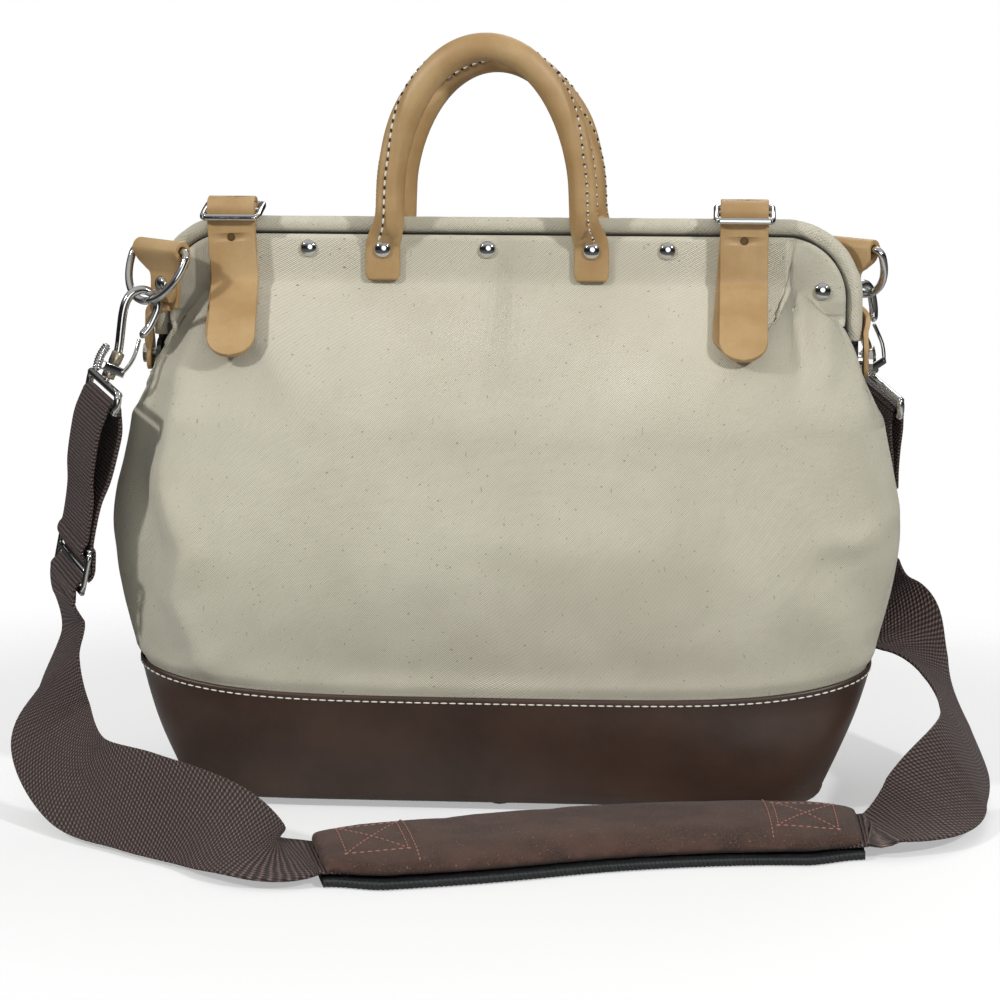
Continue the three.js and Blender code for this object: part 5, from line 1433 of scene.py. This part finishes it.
def makeTab(name, corner):
    t, end = tabSizes, corner["end"]
    n, w, at = tabFrame(end)
    leatherBand = lambda wide: np.array([roundRect(2 * half, t["leather"], t["edge"]) for half in wide])
    layers = lambda rows: [(t["leather"] * out, up, wide) for out, up, wide in rows]
    foldOut = t["leather"] / 2 + t["fold"]
    turns = [math.pi - i / 7 * math.pi * 1.04 for i in range(1, 8)]
    fold = [(foldOut + t["fold"] * math.cos(a), t["rise"] + t["fold"] * math.sin(a), 0.0170) for a in turns]
    rows = [*layers(t["under"]), *fold, *layers(t["outer"])]
    line = smoothRows([(*at(0, out, up), wide) for out, up, wide in rows], 130)
    loop = sweep("tab_loop_" + name, line[:, :3], w, leatherBand(line[:, 3]), leather)
    strip = smoothRows([
        (*at(0, t["leather"] / 2, -0.008), *w, 0.0068),
        *[(end * x, end * y, z, a, b, 0, half) for x, y, z, a, b, half in t["strip"]],
    ], 70)
    joinInto(loop, sweep("tab_strip_" + name, strip[:, :3], strip[:, 3:6], leatherBand(strip[:, 6]), leather))
    carried(loop, corner["jaw"], "leather", "ring_tab_" + name)
    pin = rivetSet("tab_pin_" + name, [at(0, 2 * t["leather"] + 0.0003, 0)], [n], t["grip"])
    carried(pin, corner["jaw"], None, "tab_rivet_" + name)


def makeDRing(name, corner):
    n, w, at = tabFrame(corner["end"])
    tilt = math.radians(ringSizes["tilt"])
    down = np.array((0, 0, -math.cos(tilt))) + n * math.sin(tilt)
    centre = at(0, tabSizes["leather"] / 2 + tabSizes["fold"], tabSizes["rise"])
    hw, depth, r = ringSizes["half"], ringSizes["depth"], ringSizes["corner"]
    outline = [(-hw + r, 0), (-0.009, 0), (0, 0), (0.009, 0), (hw - r, 0), (hw - r * 0.3, r * 0.3), (hw, r)]
    turns = [i / 12 * math.pi for i in range(1, 12)]
    outline += [(hw * math.cos(a), r + (depth - r) * math.sin(a)) for a in turns]
    outline += [(-hw, r), (-hw + r * 0.3, r * 0.3)]
    points = [centre + w * a + down * b for a, b in outline]
    ring = makeRing("ring_" + name, points, np.cross(w, down), ringSizes["wire"], 140)
    carried(ring, "d_ring_" + name, "nickel", "d_ring_" + name)


# The directions of a corner's snap hook, and a point from its distances along them.
def hookFrame(corner):
    middle = np.array(corner["middle"])
    p, q, b = (unit(corner[k]) for k in "pqb")
    return p, q, b, lambda x, y, z=0.0: middle + p * x + q * y + b * z


# Bent rod, and a sleeve with collars.
def makeHook(name, corner):
    _, _, b, place = hookFrame(corner)
    bend = arc(0, 0, hookSizes["bend"], [180 - 22.5 * i for i in range(1, 9)])
    line = smoothRows([place(*spot) for spot in (*hookSizes["shank"], *bend, *hookSizes["nose"])], 130)
    radii = [*[hookSizes["rod"]] * 125, *hookSizes["tip"]]
    hook = sweep("hook_" + name, line, b, np.array([circle(k, 16) for k in radii]), nickel)
    steps, widths = zip(*hookSizes["sleeve"])
    sleevePath = [place(-0.001, hookSizes["low"] + y) for y in steps]
    sleeve = sweep("hook_sleeve_" + name, sleevePath, b, np.array([circle(k, 24) for k in widths]), brass)
    carried(hook, "snap_hook_" + name, "nickel", "snap_hook_" + name)
    carried(sleeve, "snap_hook_" + name, "nickel")


# A thin wire up to the hook's tip, a band round the sleeve and a ridged thumb lever.
def makeGate(name, corner):
    p, q, b, place = hookFrame(corner)
    low = hookSizes["low"]
    wire = smoothRows([place(*spot) for spot in hookSizes["gateLine"]], 50)
    gate = sweep("gate_wire_" + name, wire, b, circle(hookSizes["gateWire"], 10), nickel)
    plateLine = smoothRows([place(x, low + 0.003, z) for x, z in hookSizes["plate"]], 30)
    plate = sweep("lever", plateLine, q, roundRect(0.0046, 0.0014, 0.0006), nickel)
    thumbLine, thumbSection = [], []
    for k in range(61):
        share = k / 60
        thumbLine.append(place(-0.0086 - 0.0012 * math.sin(share * math.pi), low + 0.0135 - 0.0145 * k / 60, 0.003))
        narrowed = min(1, 0.5 + 0.5 * min(k, 60 - k) / 5)
        size = (hookSizes["thumb"] + hookSizes["ridge"] * math.cos(share * 22 * math.pi)) * narrowed
        thumbSection.append(roundRect(size * 0.85, size, 0.0009))
    joinInto(gate, plate, sweep("thumb", thumbLine, p, np.array(thumbSection), nickel))
    carried(gate, "gate_" + name, "nickel", "gate_" + name)


# A rounded rectangle of wire on a stud.
def makeEye(name, corner):
    _, _, b, place = hookFrame(corner)
    top, bottom = np.array(corner["eyeTop"]), np.array(corner["eyeBar"])
    across, fall = unit(corner["across"]), unit(corner["down"])
    reach = across * eyeSizes["half"]
    outline = roundCorners([top - reach, top + reach, bottom + reach, bottom - reach], eyeSizes["corner"])
    eye = makeRing("eye_" + name, outline, np.cross(across, fall), eyeSizes["wire"], 150)
    studPath = [place(-0.001, hookSizes["low"] + y) for y in (0.0034, 0.0, -0.003, -0.0056)]
    joinInto(eye, sweep("stud", studPath, b, circle(eyeSizes["stud"]), nickel))
    carried(eye, "swivel_eye_" + name, "nickel", "swivel_eye_" + name)


for name, corner in corners.items():
    makeTab(name, corner)
    makeDRing(name, corner)
    makeHook(name, corner)
    makeGate(name, corner)
    makeEye(name, corner)
print("corners made")

strapSizes = {
    "width": 0.050,
    "thickness": 0.0019,
    "edge": 0.0008,
    "wrap": 0.0032,
    "weave": 0.0028,
    "weaveStep": 0.0104,
    "weaveFlat": 0.0019,
    "glide": (-0.221, -0.036, 0.124),
    "slack": {
        "left": ((-0.226, -0.078, 0.043), (-0.2215, -0.037, 0.100)),
        "right": ((0.231, 0.010, 0.044), (0.191, 0.066, 0.115)),
    },
}
leftRoute = [
    (-0.2215, -0.038, 0.088, 0.4, -0.9, 0.2),
    (-0.226, -0.052, 0.068, 0.5, -0.8, 0.3),
    (-0.226, -0.076, 0.045, 0.85, -0.2, 0.45),
    (-0.206, -0.108, 0.027, 0.45, 0.25, 0.85),
    (-0.172, -0.131, 0.024, 0.1, 0.5, 0.86),
    (-0.135, -0.148, 0.019, 0, 0.75, 0.66),
    (-0.104, -0.166, 0.010, -0.15, 0.95, 0.25),
    (-0.0824, -0.1602, 0.007, -0.26, 0.965, 0),
    (-0.060, -0.154, 0.0050, -0.26, 0.965, 0),
]
rightRoute = [
    (0.191, 0.056, 0.154, 0.45, -0.89, 0),
    (0.190, 0.062, 0.130, 0.5, -0.86, 0),
    (0.191, 0.066, 0.108, 0.65, -0.75, 0),
    (0.200, 0.062, 0.084, 0.75, -0.6, -0.2),
    (0.216, 0.040, 0.062, 0.72, -0.3, -0.58),
    (0.231, 0.010, 0.044, 0.6, 0, -0.8),
    (0.238, -0.026, 0.032, 0.5, -0.1, -0.85),
    (0.232, -0.060, 0.027, 0.35, -0.45, -0.82),
    (0.214, -0.086, 0.016, 0.12, -0.85, -0.5),
    (0.192, -0.098, 0.0075, 0, -1, -0.05),
    (0.184, -0.099, 0.007, 0.05, -1, 0),
    (0.160, -0.0995, 0.0050, 0.05, -1, 0),
]


# A stretch of webbing along rows of a point and the direction across it.
def webbingBand(name, rows):
    section = roundRect(strapSizes["width"], strapSizes["thickness"], strapSizes["edge"], 4)
    return sweep(name, rows[:, :3], rows[:, 3:6], section, webbing)


# The left strap runs from the eye through the adjuster, the right one straight from its eye.
def makeWebbing(name, route, bulge, body):
    corner, sizes = corners[name], strapSizes
    bar = np.array(corner["eyeBar"])
    down, w = unit(corner["down"]), unit(corner["across"])
    m = np.cross(w, down)
    at = lambda out, below: (*(bar + m * out + down * below), *w)
    r = sizes["wrap"]
    reach = float(np.linalg.norm(np.array(sizes["glide"]) - bar))
    if name == "left":
        weave, step, flat = sizes["weave"], sizes["weaveStep"], sizes["weaveFlat"]
        first = [
            (-r, 0), (-bulge * 0.95, 0.010), (-bulge, 0.020), (-bulge * 0.85, 0.036), (-0.0022, 0.050),
            (-0.0014, reach - step - 0.006), (-weave, reach - step - flat), (-weave, reach - step + flat),
            (0.0022, reach - flat), (0.0022, reach + flat), (-weave, reach + step - flat),
            (-weave, reach + step + flat), (-0.001, reach + step + 0.010),
        ]
        back = [
            (bulge, 0.010), (bulge, 0.020), (bulge * 0.8, 0.036), (0.0018, 0.050), (0.0016, reach - step - 0.004),
            (0.0034, reach - step), (0.0046, reach - 0.0035), (0.0050, reach), (0.0044, reach + 0.0035),
            (0.0028, reach + 0.0052),
        ]
    else:
        first = [(-r, 0), (-bulge, 0.010), (-bulge * 0.6, 0.024), (-0.0010, 0.036)]
        back = [(bulge, 0.010), (bulge * 0.7, 0.022), (0.0018, 0.034), (0.0019, 0.046)]
    turn = [(r * math.cos(a), -r * math.sin(a)) for a in np.linspace(math.pi * 0.97, 0, 9)]
    rows = smoothRows([*[at(*spot) for spot in first], *route], 420)
    strap = webbingBand("strap_" + name, rows)
    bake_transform(strap)
    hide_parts("webbing_" + name)
    under = webbingBand("strap_return_" + name, smoothRows([at(*spot) for spot in (*turn, *back)], 120))
    carried(under, body, "webbing")
    return np.array(at(0, reach)[:3]), w, down, m


glideFrame = makeWebbing("left", leftRoute, 0.0056, "strap_left")
makeWebbing("right", rightRoute, 0.0034, "strap_right")

glideSizes = {"width": 0.060, "height": 0.024, "bar": 0.0032, "depth": 0.0024, "edge": 0.0008, "corner": 0.0036}


def makeGlide():
    g = glideSizes
    centre, across, down, out = glideFrame
    point = lambda a, c: centre + across * a + down * c
    half, step = g["width"] / 2 - g["bar"] / 2, g["height"] / 2 - g["bar"] / 2
    ends = [point(-half, -step), point(half, -step), point(half, step), point(-half, step)]
    outline = roundCorners(ends, g["corner"])
    section = roundRect(g["depth"], g["bar"], g["edge"])
    frameLoop = sweep("glide_frame", smoothRows(outline, 140, joined=True), out, section, nickel, joined=True)
    joinInto(frameLoop, sweep("bar", [point(-half, 0), point(0, 0), point(half, 0)], out, section, nickel))
    carried(frameLoop, "glide", "nickel", "glide")


makeGlide()
print("webbing made")

padSizes = {
    "width": 0.072,
    "thickness": 0.009,
    "base": 0.004,
    "baseEdge": 0.0012,
    "rib": 0.00035,
    "ribs": 120,
    "low": 0.0043,
    "crown": 0.0012,
    "uneven": 0.0006,
    "voxel": 0.004,
    "pressure": 0.5,
    "frames": 20,
    "cap": 0.0022,
}
padLine = [(-0.080, -0.1595, 0), (-0.012, -0.141, 0), (0.055, -0.117, 0), (0.120, -0.103, 0), (0.182, -0.099, 0)]


def padHalf(t, share):
    ends = np.minimum(t, 1 - t)
    return padSizes["width"] / 2 * share * (0.74 + 0.26 * smoothStep(ends / 0.11))


def pointsOf(obj):
    flat = np.empty(len(obj.data.vertices) * 3)
    obj.data.vertices.foreach_get("co", flat)
    return flat.reshape(-1, 3)


# Fills a pad with air for a moment: cloth under pressure, each point moving only a little.
def swell(obj):
    p = padSizes
    modified(obj, "REMESH", mode="VOXEL", voxel_size=p["voxel"])
    before = pointsOf(obj)
    cloth = obj.modifiers.new("air", "CLOTH")
    cloth.settings.use_pressure = True
    cloth.settings.uniform_pressure_force = p["pressure"]
    cloth.settings.effector_weights.gravity = 0
    for number in range(1, p["frames"] + 1):
        scene.frame_set(number)
    applied(obj)
    move = pointsOf(obj) - before
    size = np.linalg.norm(move, axis=1, keepdims=True)
    final = before + move * np.minimum(1, p["cap"] / np.maximum(size, 1e-9))
    final[:, 2] = np.maximum(final[:, 2], p["low"])
    obj.data.vertices.foreach_set("co", final.ravel())
    scene.frame_set(1)
    modified(obj, "SUBSURF", levels=1, render_levels=1)
    obj.data.shade_smooth()
    held = float(np.mean(size > p["cap"]))
    print("pad swollen by up to", round(float(size.max()), 4), "share held", round(held, 2))


def makePad():
    p, count = padSizes, 260
    path = smoothRows(padLine, count)
    sides = groundSides(path)
    rings = []
    for i, (centre, side) in enumerate(zip(path, sides)):
        t = i / (count - 1)
        half = padHalf(t, 0.985)
        closing = smoothStep(min(t, 1 - t) / 0.012) * 0.35 + 0.65
        ring = []
        for a in np.arange(40) / 40 * 2 * math.pi:
            c, s = math.cos(a), math.sin(a)
            x = half * math.copysign(abs(c) ** 0.42, c)
            rise = p["thickness"] / 2 * math.copysign(abs(s) ** 0.62, s) * closing
            crown = p["crown"] * (1 - (x / half) ** 2) if s > 0 else 0
            soft = p["uneven"] * noise.noise(Vector((i * 0.055, c * 2.2, 3.0))) if s > 0 else 0
            z = p["low"] + p["thickness"] / 2 + rise * 0.96 + crown * closing + soft
            ring.append(centre + side * x + np.array((0, 0, z)))
        rings.append(ring)
    pad = loft("pad_cushion", rings, suede)
    swell(pad)
    carried(pad, "bag", "pad", "shoulder_pad")
    return BVHTree.FromObject(pad, bpy.context.evaluated_depsgraph_get())


# The pad's ribbed rubber base.
def makePadBase():
    p, count = padSizes, 900
    path = smoothRows(padLine, count)
    sides = groundSides(path)
    rings = []
    for i, (centre, side) in enumerate(zip(path, sides)):
        t = i / (count - 1)
        half = padHalf(t, 1.0) + p["rib"] * math.sin(t * math.pi * 2 * p["ribs"])
        outline = roundRect(2 * half, p["base"], p["baseEdge"], 2)
        rings.append(centre + side * outline[:, :1] + np.array((0, 0, 1)) * (outline[:, 1:] + p["base"] / 2))
    base = loft("pad_rubber", rings, rubber)
    carried(base, "bag", "rubber", "pad_base")


padSurface = makePad()
makePadBase()

padStitches = {
    "boxes": {"left": (0.045, 0.155), "right": (0.955, 0.845)},
    "reach": 0.020,
    "row": 0.030,
    "rowAway": 0.12,
    "spacing": 0.0034,
    "length": 0.0025,
    "thickness": 0.0008,
    "above": 0.0002,
}


# At each end of the pad a stitched box with a cross, and a row beside it.
def makePadStitches():
    p, count = padStitches, 400
    path = smoothRows(padLine, count)
    sides = groundSides(path)
    top = padSizes["low"] + padSizes["thickness"]

    def spot(t, across):
        i = t * (count - 1)
        k = int(min(max(i, 0), count - 2))
        x, y, _ = path[k] * (1 - i + k) + path[k + 1] * (i - k) + sides[k] * across
        hit = padSurface.ray_cast(Vector((x, y, 0.1)), Vector((0, 0, -1)))[0]
        return np.array((x, y, hit.z + p["above"] if hit else top))

    for name, (start, end) in p["boxes"].items():
        reach, row = p["reach"], end + (end - start) * p["rowAway"]
        corner = [(start, -reach), (end, -reach), (end, reach), (start, reach)]
        lines = [(corner[i], corner[(i + 1) % 4]) for i in range(4)]
        lines += [(corner[0], corner[2]), (corner[1], corner[3]), ((row, -p["row"]), (row, p["row"]))]
        rows = []
        for k, ((t0, across0), (t1, across1)) in enumerate(lines):
            line = [spot(t0 + (t1 - t0) * s, across0 + (across1 - across0) * s) for s in np.linspace(0, 1, 30)]
            stitched = f"pad_stitches_{name}_{k}"
            rows.append(stitchLine(stitched, line, p["spacing"], p["length"], p["thickness"], roseThread))
        joinInto(*rows)
        rows[0].name = "pad_stitches_" + name
        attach(rows[0], "bag")


makePadStitches()
print("pad made")

# The solids that the render shows as they are
finishes = {"bottom_board": board, "front_jaw": frameSteel, "back_jaw": frameSteel}
for name, node in nodes.items():
    if not node.hide_render:
        node.data.materials.clear()
        node.data.materials.append(rubber if name.startswith("foot_") else finishes.get(name, nickel))

# Pale floor that fades out into a white background, two soft lamps in front, a weak fill and one behind
studio = {
    "floor": 0.84,
    "solid": 0.6,
    "fadeFrom": 0.34,
    "fadeTo": 0.60,
    "half": 1.0,
    "low": -0.0004,
    "ambient": 0.58,
    "sky": [(0.0, 0.30), (0.36, 0.20), (0.46, 0.03), (0.60, 0.04), (0.70, 0.38), (0.86, 1.0)],
    "aim": (0, 0, 0.16),
    "lamps": {
        "keyLeft": ((-1.45, -1.15, 1.35), 0.16, 22),
        "keyRight": ((1.45, -1.25, 1.30), 0.16, 27),
        "fill": ((0.3, -2.5, 0.55), 1.6, 11),
        "behind": ((0.3, 1.5, 1.5), 1.2, 10),
    },
}


def makeFloor():
    s = Shader("floor")
    across, along, _ = s.axes(s.coordinates("Object"))
    away = (across * across + (along * 1.25) * (along * 1.25)) ** 0.5
    solid = (1 - away.step(studio["fadeFrom"], studio["fadeTo"])) * studio["solid"]
    pale = s.finish({"Base Color": (studio["floor"],) * 3, "Roughness": 0.9, "Alpha": solid})
    half = studio["half"]
    points = [(x, y, studio["low"]) for x, y in ((-half, -half), (half, -half), (half, half), (-half, half))]
    makeObject("floor", points, [(0, 1, 2, 3)], pale)


# The world lights the bag with soft bands, and the camera sees it white.
def makeSky():
    s = Shader("studio", "World Output")
    _, _, up = s.axes(s.coordinates("Generated"))
    height = s.add("ShaderNodeMapRange", inputs={0: up, 1: -1.0})
    stops = [(place, (level,) * 3) for place, level in studio["sky"]]
    bands = s.add("ShaderNodeValToRGB", {"stops": stops}, {0: height})
    light = s.add("ShaderNodeBackground", inputs={"Color": bands, "Strength": studio["ambient"]})
    white = s.add("ShaderNodeBackground", inputs={"Color": (1, 1, 1), "Strength": 1.0})
    seen = s.add("ShaderNodeLightPath", output="Is Camera Ray")
    scene.world = s.finish({"Surface": s.add("ShaderNodeMixShader", inputs={0: seen, 1: light, 2: white})})


def makeLamps():
    for name, (place, size, power) in studio["lamps"].items():
        data = bpy.data.lights.new(name, "AREA")
        data.shape = "DISK"
        data.size = size
        data.energy = power
        lamp = bpy.data.objects.new(name, data)
        lamp.location = place
        lamp.rotation_euler = (Vector(studio["aim"]) - Vector(place)).to_track_quat("-Z", "Y").to_euler()
        scene.collection.objects.link(lamp)


makeFloor()
makeSky()
makeLamps()
scene.view_settings.view_transform = "Standard"
print("studio made")
